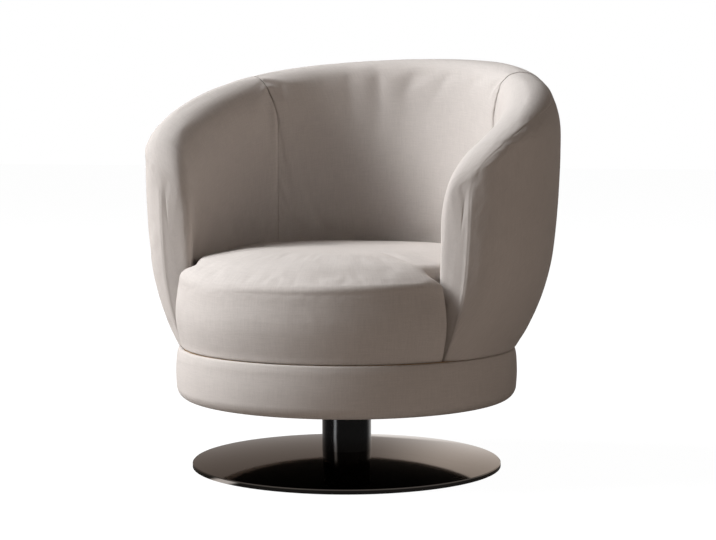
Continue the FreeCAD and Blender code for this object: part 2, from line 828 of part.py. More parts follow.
def dome_height(radius):
    return disc_rim_top + disc_dome * (1.0 - (radius / disc_radius) ** 2)


def dome_arc(inner, outer, drop):
    """The dome's curve from its outer to its inner radius, lowered by a drop."""
    spots = [(radius, dome_height(radius) - drop) for radius in (outer, 0.5 * (inner + outer), inner)]
    return tuple(spots)


def domed_disc():
    """A dome with a flat seat for the column, hollow underneath between its rim and its boss."""
    edge = disc_radius - disc_bevel
    over = dome_arc(disc_seat_radius, edge, 0.0)
    corner = disc_rim_top - disc_bevel
    outline = [((0.0, disc_bottom), (disc_radius, disc_bottom)), ((disc_radius, disc_bottom), (disc_radius, corner)),
               ((disc_radius, corner), over[0]), over, (over[-1], (0.0, disc_top)),
               ((0.0, disc_top), (0.0, disc_bottom))]
    rim = disc_radius - disc_rim_width
    under = dome_arc(disc_boss_radius, rim, disc_shell)
    floor = disc_bottom - tool_overrun
    hollow = [((disc_boss_radius, floor), (rim, floor)), ((rim, floor), under[0]), under,
              (under[-1], (disc_boss_radius, floor))]
    return turned(outline).cut(turned(hollow))


def base():
    parts["floor_felt"] = cylinder(disc_radius - felt_inset, 0.0, felt_thickness)
    spots = around(base_screw_count, base_screw_circle, 45.0)
    foot_top = disc_top + column_foot_thickness
    narrow = base_screw_radius + fit_gap
    holes = []
    screws = []
    head_top = disc_bottom + base_screw_head_height
    for x, y in spots:
        place = vector(x, y, disc_bottom)
        wide_head = base_screw_head_radius + fit_gap
        cone = Part.makeCone(wide_head, narrow, base_screw_head_height, place)
        holes.append(cone.fuse(cylinder(narrow, head_top, disc_top + tool_overrun, x, y)))
        head = Part.makeCone(base_screw_head_radius, base_screw_radius, base_screw_head_height, place)
        screws.append(head.fuse(cylinder(base_screw_radius, head_top, foot_top, x, y)))
    parts["base_disc"] = cut_all(domed_disc(), holes)
    parts["base_screws"] = group(screws)
    inner = column_radius - column_wall
    parts["column_tube"] = sleeve(column_radius, inner, disc_top, column_top)
    foot = cylinder(inner - fit_gap, disc_top, foot_top)
    parts["column_foot"] = cut_all(foot, [drill(narrow, disc_top, foot_top, x, y) for x, y in spots])


def main():
    base()
    bearing()
    spindle()
    swivel_plate()
    plinth_boards()
    plinth_band()
    tub_frame()
    tub_padding()
    tub_covers()
    seat_parts()
    os.makedirs("parts", exist_ok=True)
    for name in sorted(parts):
        shape = parts[name]
        shape.exportStep("parts/%s.step" % name)
        box = shape.BoundBox
        size = (box.XLength, box.YLength, box.ZLength)
        sizes = "%7.1f %7.1f %7.1f" % size
        print("%-22s solids %2d valid %s size %s volume %.0f" % (
            name, len(shape.Solids), shape.isValid(), sizes, shape.Volume))


main()
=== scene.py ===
import math
import random

import bmesh
import bpy
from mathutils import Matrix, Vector, kdtree, noise


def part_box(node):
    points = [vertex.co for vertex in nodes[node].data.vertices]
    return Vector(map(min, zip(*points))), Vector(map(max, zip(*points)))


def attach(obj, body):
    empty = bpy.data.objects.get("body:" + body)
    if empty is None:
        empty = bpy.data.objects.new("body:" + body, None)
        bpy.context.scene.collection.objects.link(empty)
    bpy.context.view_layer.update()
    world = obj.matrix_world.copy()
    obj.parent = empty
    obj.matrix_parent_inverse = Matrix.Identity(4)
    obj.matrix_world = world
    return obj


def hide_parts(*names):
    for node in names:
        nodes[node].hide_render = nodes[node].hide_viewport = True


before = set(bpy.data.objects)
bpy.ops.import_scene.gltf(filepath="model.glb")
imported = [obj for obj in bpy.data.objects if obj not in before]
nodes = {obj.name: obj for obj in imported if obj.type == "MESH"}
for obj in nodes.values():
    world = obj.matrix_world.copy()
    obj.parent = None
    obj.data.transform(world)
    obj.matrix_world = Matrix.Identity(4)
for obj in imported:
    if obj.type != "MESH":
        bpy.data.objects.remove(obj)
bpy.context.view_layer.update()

bl_info = {
    "name": "Swivel lounge chair",
    "version": (1, 0, 0),
    "blender": (4, 5, 0),
    "location": "View3D > Sidebar > Lounge chair",
    "description": "Upholsters the swivel lounge chair's solids, finishes its metal and wood, and lights it",
    "category": "Object",
}

UP = Vector((0.0, 0.0, 1.0))


# Sizes and colours that a user would change


def length(name, description, default):
    return bpy.props.FloatProperty(name=name, description=description, default=default, unit="LENGTH", precision=4)


def share(name, description, default):
    return bpy.props.FloatProperty(name=name, description=description, default=default, min=0.0, max=1.0,
                                   subtype="FACTOR")


def turn(name, description, degrees):
    return bpy.props.FloatProperty(name=name, description=description, default=math.radians(degrees),
                                   subtype="ANGLE")


def colour(name, description, default):
    return bpy.props.FloatVectorProperty(name=name, description=description, default=default, size=3, min=0.0,
                                         max=1.0, subtype="COLOR")


class TubSizes(bpy.types.PropertyGroup):
    """The tub wall's shape, measured from the swivel axis and the floor."""

    inner_radius: length("Inside radius", "From the swivel axis to the wall's inner face", 0.287)
    outer_radius: length("Outside radius", "From the axis to the widest part of the sides", 0.3915)
    foot_radius: length("Foot radius", "From the axis to the wall's outer face at the plinth", 0.317)
    shift: length("Backward shift", "How far the wide outside is set back from the axis", 0.0196)
    foot_height: length("Foot height", "Height of the wall's lower edge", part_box("back_pad")[0].z)
    back_height: length("Back height", "Height of the rim at the middle of the back", 0.780)
    rim_fall: length("Rim fall", "How far the rim falls from the back to the sides", 0.1516)
    rim_bulge: length("Rim bulge", "How far the rim rises above a straight slope", 0.0503)
    widest_back: length("Widest height, back", "Height of the outside's widest place at the back", 0.635)
    widest_front: length("Widest height, arms", "Height of the outside's widest place at the arms' fronts", 0.615)
    outer_roll_back: length("Outer roll, back", "Width of the rim's roll outside its crest at the back", 0.094)
    outer_roll_front: length("Outer roll, arms", "Width of the rim's roll outside its crest at the arms", 0.0254)
    inner_roll_back: length("Inner roll, back", "How far the rim rolls down inside its crest at the back", 0.085)
    inner_roll_front: length("Inner roll, arms", "How far the rim rolls down inside its crest at the arms", 0.117)
    seam_angle: turn("Panel seam angle", "From the back to the seams between back and arms", 53.0)
    seam_lean: turn("Panel seam lean", "How much further forward those seams cross the rim", 6.0)
    nose_base: length("Arm length", "How far the arms reach forward before they round off", 0.1215)
    nose_depth: length("Nose depth", "Depth of the arms' rounded fronts", 0.0415)
    nose_drop: length("Nose drop", "How far the rim falls over the arms' rounded fronts", 0.050)
    nose_seam: share("Nose seam", "Where the outside panel's seam runs down the rounded front", 0.983)
    nose_ridge: share("Nose ridge", "Where across the wall the rounded front closes", 0.57)
    seam_depth: length("Seam depth", "How deep the cloth is drawn in at a seam", 0.0012)
    seam_width: length("Seam width", "Width of the cloth's turn into a seam", 0.005)


class SeatSizes(bpy.types.PropertyGroup):
    """The seat cushion's shape."""

    side_radius: length("Side radius", "Radius between the arms", 0.2855)
    front_radius: length("Front radius", "Radius of the front, which is wider than the space between the arms", 0.315)
    shoulder: length("Shoulder", "From the axis to the cushion's step in front of the arms", 0.1695)
    crown_height: length("Crown height", "Height of the cushion's middle", 0.4115)
    front_height: length("Front height", "Height of the top above the front of the arms' inside", 0.386)
    back_height: length("Back height", "Height of the top along the back", 0.406)
    front_slope: share("Front slope", "How steeply the top falls to the crease along the front", 0.88)
    crease_round: length("Crease round", "Radius of the crease along the front", 0.0060)
    edge_round: length("Edge round", "Radius of the top's edge against the arms and back", 0.014)
    tuck: length("Tuck", "How far the sides draw in at the bottom", 0.0040)


class PlinthSizes(bpy.types.PropertyGroup):
    """The padded plinth's shape."""

    radius: length("Radius", "From the axis to the plinth's side", 0.3195)
    lower_round: length("Lower round", "Radius of the lower edge", 0.0235)
    upper_round: length("Upper round", "Radius of the upper edge", 0.020)
    swell: length("Swell", "How far the padding stands out between its edges", 0.0012)


class Finishes(bpy.types.PropertyGroup):
    """Colours of the chair's materials."""

    cloth: colour("Cloth", "Greige upholstery cloth", (0.545, 0.497, 0.462))
    disc: colour("Disc", "Polished black nickel of the base disc", (0.090, 0.080, 0.073))
    column: colour("Column", "Gloss black of the column", (0.015, 0.015, 0.016))
    plywood: colour("Plywood", "Birch plywood of the frame", (0.56, 0.36, 0.18))
    zinc: colour("Zinc", "Zinc plated fasteners", (0.42, 0.43, 0.45))
    felt: colour("Felt", "Felt under the disc", (0.012, 0.012, 0.012))


class StageSettings(bpy.types.PropertyGroup):
    """Camera and lights."""

    azimuth: turn("Camera azimuth", "From the chair's front towards its left arm", 24.3)
    distance: length("Camera distance", "From the swivel axis, measured along the floor", 3.300)
    height: length("Camera height", "Above the floor", 0.6215)
    pitch: turn("Camera pitch", "How far the camera looks down", 4.35)
    yaw: turn("Camera yaw", "How far the camera looks to the right of the axis", 0.37)
    focal_width: bpy.props.FloatProperty(name="Focal length in widths", default=1757.0 / 716.0,
                                         description="Focal length over the width of the picture")
    key_power: bpy.props.FloatProperty(name="Key lights", description="Power of each of the two key lights",
                                       default=400.0, unit="POWER")
    fill_power: bpy.props.FloatProperty(name="Fill light", description="Power of the warm light from the right",
                                        default=62.0, unit="POWER")
    air_strength: bpy.props.FloatProperty(name="Air", description="Strength of the light all round", default=0.012)


# Flat outlines


def blend(a, b, part):
    return a + (b - a) * part


def unit(x, y):
    size = math.hypot(x, y)
    return x / size, y / size


def arc_points(start, middle, end, parts):
    """Points on the arc through three flat points, at shares of its length."""
    ax, ay = start
    bx, by = middle
    cx, cy = end
    d = 2.0 * (ax * (by - cy) + bx * (cy - ay) + cx * (ay - by))
    a, b, c = ax * ax + ay * ay, bx * bx + by * by, cx * cx + cy * cy
    ux = (a * (by - cy) + b * (cy - ay) + c * (ay - by)) / d
    uy = (a * (cx - bx) + b * (ax - cx) + c * (bx - ax)) / d
    first = math.atan2(ay - uy, ax - ux)
    sweep = (math.atan2(cy - uy, cx - ux) - first + math.pi) % (2.0 * math.pi) - math.pi
    radius = math.hypot(ax - ux, ay - uy)
    return [(ux + radius * math.cos(first + sweep * p), uy + radius * math.sin(first + sweep * p)) for p in parts]


def edge_points(edge, parts):
    if len(edge) == 3:
        return arc_points(edge[0], edge[1], edge[2], parts)
    (ax, ay), (bx, by) = edge
    return [(blend(ax, bx, p), blend(ay, by, p)) for p in parts]


def tangent_arc(start, tangent, end):
    """The arc from start to end that leaves start along the tangent."""
    chord = (end[0] - start[0], end[1] - start[1])
    normal = (-tangent[1], tangent[0])
    across = chord[0] * normal[0] + chord[1] * normal[1]
    if abs(across) < 1e-9:
        return (start, end)
    radius = (chord[0] ** 2 + chord[1] ** 2) / (2.0 * across)
    centre = (start[0] + normal[0] * radius, start[1] + normal[1] * radius)
    way = unit((start[0] + end[0]) / 2.0 - centre[0], (start[1] + end[1]) / 2.0 - centre[1])
    return (start, (centre[0] + way[0] * abs(radius), centre[1] + way[1] * abs(radius)), end)


def soft_corner(start, start_way, end, end_way):
    """Two arcs, tangent to each other, from start to end along the two ways."""
    gap = (end[0] - start[0], end[1] - start[1])
    ways = (start_way[0] + end_way[0], start_way[1] + end_way[1])
    along = gap[0] * ways[0] + gap[1] * ways[1]
    square = gap[0] ** 2 + gap[1] ** 2
    spread = 2.0 - 2.0 * (start_way[0] * end_way[0] + start_way[1] * end_way[1])
    step = (-along + math.sqrt(along ** 2 + spread * square)) / spread
    first = (start[0] + start_way[0] * step, start[1] + start_way[1] * step)
    second = (end[0] - end_way[0] * step, end[1] - end_way[1] * step)
    joint = ((first[0] + second[0]) / 2.0, (first[1] + second[1]) / 2.0)
    back = tangent_arc(end, (-end_way[0], -end_way[1]), joint)
    return [tangent_arc(start, start_way, joint), tuple(reversed(back))]


def smooth_step(low, high, value):
    t = min(max((value - low) / (high - low), 0.0), 1.0)
    return t * t * (3.0 - 2.0 * t)


def bump(value, centre, width):
    """A soft hill of height one."""
    return math.exp(-((value - centre) / width) ** 2)


# Meshes


EASE_STEPS = 10
CLOTH_MASS = 0.05
SETTLE_FRAMES = 20


def new_piece(name, points, faces, material, uv=None):
    mesh = bpy.data.meshes.new(name)
    mesh.from_pydata([tuple(p) for p in points], [], faces)
    mesh.materials.append(material)
    if uv:
        layer = mesh.uv_layers.new(name="Cloth")
        for loop in mesh.loops:
            layer.data[loop.index].uv = uv[loop.vertex_index]
    made = bmesh.new()
    made.from_mesh(mesh)
    bmesh.ops.recalc_face_normals(made, faces=made.faces)
    made.to_mesh(mesh)
    made.free()
    mesh.shade_smooth()
    piece = bpy.data.objects.new(name, mesh)
    bpy.context.scene.collection.objects.link(piece)
    return piece


def subdivide(piece, levels):
    rounder = piece.modifiers.new("Smooth", "SUBSURF")
    rounder.levels = levels
    rounder.render_levels = levels


def settle(context, piece, hold, pressure, slack, limit):
    """The filling presses the cloth out of its cut shape. Each point keeps what it moved, up to a limit."""
    mesh = piece.data
    start = [vertex.co.copy() for vertex in mesh.vertices]
    held = piece.vertex_groups.new(name="Held")
    for index, weight in enumerate(hold):
        held.add([index], weight, "REPLACE")
    cloth = piece.modifiers.new("Cloth", "CLOTH")
    cloth.settings.quality = 4
    cloth.settings.mass = CLOTH_MASS
    cloth.settings.tension_stiffness = 15.0
    cloth.settings.compression_stiffness = 15.0
    cloth.settings.shear_stiffness = 5.0
    cloth.settings.bending_stiffness = 0.5
    cloth.settings.use_pressure = True
    cloth.settings.uniform_pressure_force = pressure
    cloth.settings.shrink_min = -slack
    cloth.settings.vertex_group_mass = held.name
    cloth.settings.effector_weights.gravity = 0.0
    cloth.collision_settings.use_collision = False
    cloth.point_cache.frame_end = SETTLE_FRAMES
    for frame_number in range(1, SETTLE_FRAMES + 1):
        context.scene.frame_set(frame_number)
    settled = piece.evaluated_get(context.evaluated_depsgraph_get()).data
    moved = [vertex.co - before for vertex, before in zip(settled.vertices, start)]
    piece.modifiers.remove(cloth)
    piece.vertex_groups.remove(held)
    for vertex, before, step in zip(mesh.vertices, start, moved):
        size = step.length
        if size > 0.0:
            step = step * (limit * math.tanh(size / limit) / size)
        vertex.co = before + step
    mesh.update()
    context.scene.frame_set(1)


# The tub wall


def front_angle(tub):
    return math.acos(-tub.nose_base / tub.inner_radius)


def rim_height(tub, cosine):
    return tub.back_height - tub.rim_fall * (1.0 - cosine) + tub.rim_bulge * (1.0 - cosine ** 2)


def reach(foot, way, radius):
    """How far a ray from the inner face runs to a circle about the swivel axis."""
    along = foot[0] * way[0] + foot[1] * way[1]
    return -along + math.sqrt(along ** 2 - foot[0] ** 2 - foot[1] ** 2 + radius ** 2)


def wall_plane(tub, angle, nose):
    """Where an upright plane through the wall stands, and which way it points from the inner face."""
    if nose > 0.0:
        angle = math.acos(-(tub.nose_base + tub.nose_depth * nose) / tub.inner_radius)
    plane = min(angle, math.pi / 2.0)
    foot = (tub.inner_radius * math.sin(angle), tub.inner_radius * math.cos(angle))
    return foot, (math.sin(plane), math.cos(plane))


NOSE_SQUARENESS = 3.8
FOOT_LEAN = 1.45
ROLL_HEIGHT_SHARE = 0.8


def wall_outline(tub, angle, nose):
    """The wall's outline at a plane: lower outside, two arcs over the rim, two arcs inside, and the inner face."""
    foot, way = wall_plane(tub, angle, nose)
    half = (tub.outer_radius - tub.inner_radius) / 2.0
    middle = (foot[0] + way[0] * half, foot[1] + way[1] * half)
    cosine = middle[1] / math.hypot(middle[0], middle[1])
    front = (1.0 - cosine) / (1.0 - math.cos(front_angle(tub)))
    full = reach(foot, way, tub.outer_radius + tub.shift * cosine)
    crest = full - blend(tub.outer_roll_back, tub.outer_roll_front, front)
    foot_out = reach(foot, way, tub.foot_radius)
    outer_share = math.sqrt(1.0 - nose ** 2)
    inner_share = (1.0 - nose ** NOSE_SQUARENESS) ** (1.0 / NOSE_SQUARENESS)
    ridge = tub.nose_ridge * full
    ridge_low = tub.nose_ridge * foot_out
    wide = blend(ridge, full, outer_share)
    crest = blend(ridge, crest, outer_share)
    seam = blend(ridge_low, foot_out, outer_share)
    inner = blend(ridge, 0.0, inner_share)
    inner_low = blend(ridge_low, 0.0, inner_share)
    top = rim_height(tub, cosine) - tub.nose_drop * (1.0 - outer_share)
    widest = blend(tub.widest_back, tub.widest_front, front)
    widest = min(widest, top - ROLL_HEIGHT_SHARE * (wide - crest))
    turn_in = top - blend(tub.inner_roll_back, tub.inner_roll_front, front)
    bottom = tub.foot_height
    lean = FOOT_LEAN * 2.0 * math.atan2(wide - seam, widest - bottom)
    lower = soft_corner((wide, widest), (0.0, -1.0), (seam, bottom), (-math.sin(lean), -math.cos(lean)))
    lower = [tuple(reversed(edge)) for edge in reversed(lower)]
    over = soft_corner((wide, widest), (0.0, 1.0), (crest, top), (-1.0, 0.0))
    inside = soft_corner((crest, top), (-1.0, 0.0), (inner, turn_in), (0.0, -1.0))
    return lower + over + inside + [((inner, turn_in), (inner_low, bottom))]


def spaced(count, start=0.0, end=0.0):
    """Shares from 0 to 1, drawn together towards either end."""
    parts = []
    for i in range(count + 1):
        t = i / count
        low = t ** (1.0 + start)
        high = 1.0 - (1.0 - t) ** (1.0 + end)
        parts.append(blend(low, high, smooth_step(0.0, 1.0, t)))
    return parts


WALL_ROWS = (spaced(20), spaced(24), spaced(16, 0.0, 1.2), spaced(12, 1.2, 0.0), spaced(12), spaced(12), spaced(48))
RIM_SEAM_ROW = 44 + 16
CREST_ROW = 44 + 16 + 12
CAP_STEPS = 6


class WallPoint:
    """Where a point of the wall's cloth lies: its plane, its row and its place along both, in metres."""

    def __init__(self, angle, nose, row, along, up):
        self.angle = angle
        self.nose = nose
        self.row = row
        self.along = along
        self.up = up


def wall_column(tub, angle, nose, side):
    """The points of one plane from the outside's foot over the rim to the inside's foot."""
    foot, way = wall_plane(tub, angle, nose)
    flat = []
    for edge, parts in zip(wall_outline(tub, angle, nose), WALL_ROWS):
        flat += edge_points(edge, parts if not flat else parts[1:])
    return [Vector((side * (foot[0] + way[0] * x), foot[1] + way[1] * x, z)) for x, z in flat], flat


def running_lengths(points):
    total = 0.0
    lengths = [0.0]
    for a, b in zip(points, points[1:]):
        total += (Vector(b) - Vector(a)).length
        lengths.append(total)
    return lengths


def seam_turns(tub):
    """How far the seam between back and arm stands forward of its foot, row by row."""
    lengths = running_lengths(wall_column(tub, tub.seam_angle, 0.0, 1.0)[1])
    turns = []
    for row, value in enumerate(lengths):
        away = abs(value - lengths[CREST_ROW])
        fade = 0.13 if row > CREST_ROW else 0.40
        turns.append(tub.seam_lean * (1.0 - smooth_step(0.0, fade, away)))
    return turns


class Wall:
    """The wall's columns at even angles, from which leaning columns are read."""

    STEP = math.radians(1.0)

    def __init__(self, tub):
        self.tub = tub
        self.turns = seam_turns(tub)
        self.flats = []
        for i in range(int(front_angle(tub) / self.STEP) + 2):
            angle = min(i * self.STEP, front_angle(tub))
            self.flats.append(wall_column(tub, angle, 0.0, 1.0)[1])

    def column(self, angle, nose):
        """The points of the column that stands at an angle at its foot and leans with the nearest seam."""
        tub = self.tub
        if nose > 0.0:
            return wall_column(tub, angle, nose, 1.0)
        sign = -1.0 if angle < 0.0 else 1.0
        size = abs(angle)
        if size <= tub.seam_angle:
            part = size / tub.seam_angle
        else:
            part = (front_angle(tub) - size) / (front_angle(tub) - tub.seam_angle)
        points = []
        flat = []
        for row, forward in enumerate(self.turns):
            turned = size + forward * part
            low = min(int(turned / self.STEP), len(self.flats) - 2)
            start = low * self.STEP
            end = min(start + self.STEP, front_angle(tub))
            share_of_step = (turned - start) / (end - start)
            (ax, az), (bx, bz) = self.flats[low][row], self.flats[low + 1][row]
            x, z = blend(ax, bx, share_of_step), blend(az, bz, share_of_step)
            foot, way = wall_plane(tub, turned, 0.0)
            points.append(Vector((sign * (foot[0] + way[0] * x), foot[1] + way[1] * x, z)))
            flat.append((x, z))
        return points, flat


def wall_piece(name, wall, planes, side, relief, material):
    """A closed pad with its cloth between two planes of the wall, moved along its normals by a relief."""
    tub = wall.tub
    columns = []
    ups = []
    for angle, nose in planes:
        points, flat = wall.column(angle, nose)
        columns.append([Vector((side * point.x, point.y, point.z)) for point in points])
        lengths = running_lengths(flat)
        ups.append([value - lengths[CREST_ROW] for value in lengths])
    rows = len(columns[0])
    along = [running_lengths([column[row] for column in columns]) for row in range(rows)]
    points = []
    places = []
    for i, column in enumerate(columns):
        for row, point in enumerate(column):
            points.append(point)
            places.append(WallPoint(planes[i][0], planes[i][1], row, along[row][i], ups[i][row]))
    count = len(columns)
    faces = []
    for i in range(count - 1):
        for row in range(rows - 1):
            a = i * rows + row
            faces.append((a, a + 1, a + rows + 1, a + rows))
    uv = [(place.along, place.up) for place in places]

    def add_point(a, b, part):
        points.append(points[a].lerp(points[b], part))
        uv.append((blend(uv[a][0], uv[b][0], part), blend(uv[a][1], uv[b][1], part)))
        first, last = places[a], places[b]
        near = first if part < 0.5 else last
        nose = blend(near.nose, 1.0, 1.0 - abs(2.0 * part - 1.0)) if near.nose > 0.0 else 0.0
        places.append(WallPoint(near.angle, nose, near.row, near.along, near.up))
        return len(points) - 1

    def ladder(low_ends):
        """Strips of faces between pairs of points, and the strips' first and last rungs."""
        rungs = []
        for a, b in low_ends:
            if isinstance(a, list):
                rungs.append(a)
            elif a == b:
                rungs.append([a] * (CAP_STEPS + 1))
            else:
                rungs.append([a] + [add_point(a, b, k / CAP_STEPS) for k in range(1, CAP_STEPS)] + [b])
        for low, high in zip(rungs, rungs[1:]):
            for k in range(CAP_STEPS):
                corners = []
                for corner in (low[k], low[k + 1], high[k + 1], high[k]):
                    if corner not in corners:
                        corners.append(corner)
                if len(corners) > 2:
                    faces.append(tuple(corners))
        return rungs

    bottom = ladder([(i * rows, i * rows + rows - 1) for i in range(count)])
    for i, rung in ((0, bottom[0]), (count - 1, bottom[-1])):
        pairs = [(i * rows + row, i * rows + rows - 1 - row) for row in range(1, CREST_ROW + 1)]
        ladder([(rung, None)] + pairs)
    piece = new_piece(name, points, faces, material, uv)
    tight = piece.data.attributes.new("crease_edge", "FLOAT", "EDGE")
    for edge in piece.data.edges:
        a, b = sorted(edge.vertices)
        i, row = divmod(a, rows)
        if b == a + 1 and b < count * rows and row > CREST_ROW and i in (0, count - 1) and planes[i][1] == 0.0:
            tight.data[edge.index].value = smooth_step(0.03, 0.15, places[a].up)
    ease(piece, [place.nose > 0.25 and point.z > tub.foot_height + 0.012 for place, point in zip(places, points)])
    drape(piece, places, relief)
    return piece, places


def ease(piece, chosen):
    """Softens the chosen points, where the rounded front's arcs meet."""
    made = bmesh.new()
    made.from_mesh(piece.data)
    made.verts.ensure_lookup_table()
    soft = [made.verts[index] for index, wanted in enumerate(chosen) if wanted]
    for step in range(EASE_STEPS):
        bmesh.ops.smooth_vert(made, verts=soft, factor=0.5, use_axis_x=True, use_axis_y=True, use_axis_z=True)
    made.to_mesh(piece.data)
    made.free()


def drape(piece, places, relief):
    """Moves each point of the cloth along its normal by what the relief says for its place."""
    mesh = piece.data
    normals = [vertex.normal.copy() for vertex in mesh.vertices]
    for index, place in enumerate(places):
        mesh.vertices[index].co += normals[index] * relief(place, mesh.vertices[index].co)
    mesh.update()


def wall_hold(tub, piece, places, sewn):
    """How firmly each point of a wall piece is held: wholly at its foot and seams, and over the closed ends."""
    hold = []
    for place, vertex in zip(places, piece.data.vertices):
        low = 1.0 - smooth_step(0.415, 0.440, vertex.co.z) if place.row > CREST_ROW else 0.0
        foot = 1.0 - smooth_step(tub.foot_height + 0.004, tub.foot_height + 0.030, vertex.co.z)
        hold.append(1.0 if sewn(place) or place.row == RIM_SEAM_ROW else max(low, foot))
    return hold


def seam_dip(distance, depth, width):
    """The cloth turns in at a seam, with a soft pillow beside it."""
    near = max(0.0, 1.0 - abs(distance) / width)
    return -depth * near ** 2 - 0.35 * depth * bump(distance, 0.0, 3.0 * width)


def seam_fade(place):
    """The panel seams are pulled tight at the rim and lie almost flat lower down."""
    return 1.0 if place.row < CREST_ROW else 1.0 - 0.85 * smooth_step(0.02, 0.18, place.up)


def low_noise(point, scale, seed):
    return noise.noise(Vector((point.x, point.y, point.z)) * scale + Vector((seed, seed * 0.7, -seed)))


def back_planes(tub):
    edge = tub.seam_angle
    count = 76
    turns = [edge * (2.0 * p - 1.0) for p in spaced(count, 0.5, 0.5)]
    return [(value, 0.0) for value in turns]


def arm_planes(tub):
    start = tub.seam_angle
    turns = [blend(start, front_angle(tub), p) for p in spaced(46, 0.6, 0.0)]
    noses = [math.sin(math.radians(value)) for value in (5, 10, 15, 20, 25, 30, 35, 40, 45, 50, 54, 58, 61.5, 64.5,
                                                          67.2, 69.7, 72.1, 74.3, 76.2, 77.8, 79.2, 80.6, 82.2, 84.2,
                                                          86.2, 87.8)]
    return [(value, 0.0) for value in turns] + [(front_angle(tub), nose) for nose in noses]


def rim_and_nose_seam(tub, place, rim_up, nose_gap):
    """Distance to the outside panel's edge, which turns down the arm's front with a round corner."""
    corner = 0.030
    over = place.up - rim_up + corner
    past = nose_gap + corner
    outside = math.hypot(max(over, 0.0), max(past, 0.0))
    return outside + min(max(over, past), 0.0) - corner


# Materials


def add_node(tree, kind, values=None, **settings):
    """A node with its settings, whose inputs are linked from sockets or set to plain values."""
    made = tree.nodes.new(kind)
    for name, value in settings.items():
        setattr(made, name, value)
    for name, value in (values or {}).items():
        target = made.inputs[name]
        if isinstance(value, bpy.types.NodeSocket):
            tree.links.new(value, target)
        else:
            target.default_value = value
    return made


def new_group(name, inputs, outputs):
    """An empty shader group with named sockets, and its two ends."""
    tree = bpy.data.node_groups.new(name, "ShaderNodeTree")
    for socket, kind, default in inputs:
        made = tree.interface.new_socket(name=socket, in_out="INPUT", socket_type=kind)
        made.default_value = default
    for socket, kind in outputs:
        tree.interface.new_socket(name=socket, in_out="OUTPUT", socket_type=kind)
    start = tree.nodes.new("NodeGroupInput")
    end = tree.nodes.new("NodeGroupOutput")
    return tree, start.outputs, end.inputs


def math_node(tree, operation, first, second=0.0):
    made = add_node(tree, "ShaderNodeMath", {0: first, 1: second}, operation=operation)
    return made.outputs[0]


def mix_colour(tree, part, first, second, mode="MIX"):
    made = tree.nodes.new("ShaderNodeMix")
    made.data_type = "RGBA"
    made.blend_type = mode
    for index, value in ((0, part), (6, first), (7, second)):
        if isinstance(value, bpy.types.NodeSocket):
            tree.links.new(value, made.inputs[index])
        elif index == 0:
            made.inputs[index].default_value = value
        else:
            made.inputs[index].default_value = (*value[:3], 1.0)
    return made.outputs[2]


def weave_group():
    """Plain weave: threads over and under, as a height and as a tone."""
    tree, start, end = new_group(
        "Plain weave",
        [("Vector", "NodeSocketVector", (0.0, 0.0, 0.0)), ("Threads per metre", "NodeSocketFloat", 900.0)],
        [("Height", "NodeSocketFloat"), ("Tone", "NodeSocketFloat"), ("Slub", "NodeSocketFloat")])
    wobble = add_node(tree, "ShaderNodeTexNoise", {"Vector": start["Vector"], "Scale": 60.0, "Detail": 2.0})
    shifted = add_node(tree, "ShaderNodeVectorMath", {0: wobble.outputs["Color"], "Scale": 0.0012},
                       operation="SCALE")
    place = add_node(tree, "ShaderNodeVectorMath", {0: start["Vector"], 1: shifted.outputs[0]}, operation="ADD")
    scaled = add_node(tree, "ShaderNodeVectorMath", {0: place.outputs[0], "Scale": start["Threads per metre"]},
                      operation="SCALE")
    split = add_node(tree, "ShaderNodeSeparateXYZ", {0: scaled.outputs[0]})
    warp = math_node(tree, "SINE", math_node(tree, "MULTIPLY", split.outputs[0], math.pi))
    weft = math_node(tree, "SINE", math_node(tree, "MULTIPLY", split.outputs[1], math.pi))
    over = math_node(tree, "MULTIPLY", warp, weft)
    height = math_node(tree, "MULTIPLY_ADD", over, 0.5)
    height.node.inputs[2].default_value = 0.5
    tree.links.new(height, end["Height"])
    fleck = add_node(tree, "ShaderNodeTexNoise", {"Vector": scaled.outputs[0], "Scale": 0.35, "Detail": 1.0})
    tree.links.new(fleck.outputs["Fac"], end["Tone"])
    slubs = []
    for stretch in ((30.0, 520.0, 30.0), (520.0, 30.0, 30.0)):
        drawn = add_node(tree, "ShaderNodeVectorMath", {0: place.outputs[0], 1: stretch}, operation="MULTIPLY")
        slubs.append(add_node(tree, "ShaderNodeTexNoise", {"Vector": drawn.outputs[0], "Scale": 1.0,
                                                           "Detail": 2.0}).outputs["Fac"])
    both = math_node(tree, "ADD", slubs[0], slubs[1])
    tree.links.new(math_node(tree, "MULTIPLY", both, 0.5), end["Slub"])
    return tree


def mottle_group():
    """A slow change of tone over a surface, centred on one."""
    tree, start, end = new_group(
        "Soft mottle",
        [("Vector", "NodeSocketVector", (0.0, 0.0, 0.0)), ("Scale", "NodeSocketFloat", 6.0),
         ("Amount", "NodeSocketFloat", 0.05)],
        [("Tone", "NodeSocketFloat")])
    cloud = add_node(tree, "ShaderNodeTexNoise", {"Vector": start["Vector"], "Scale": start["Scale"],
                                                  "Detail": 3.0, "Roughness": 0.55})
    centred = math_node(tree, "SUBTRACT", cloud.outputs["Fac"], 0.5)
    tone = math_node(tree, "MULTIPLY_ADD", centred, start["Amount"])
    tone.node.inputs[2].default_value = 1.0
    tree.links.new(tone, end["Tone"])
    return tree


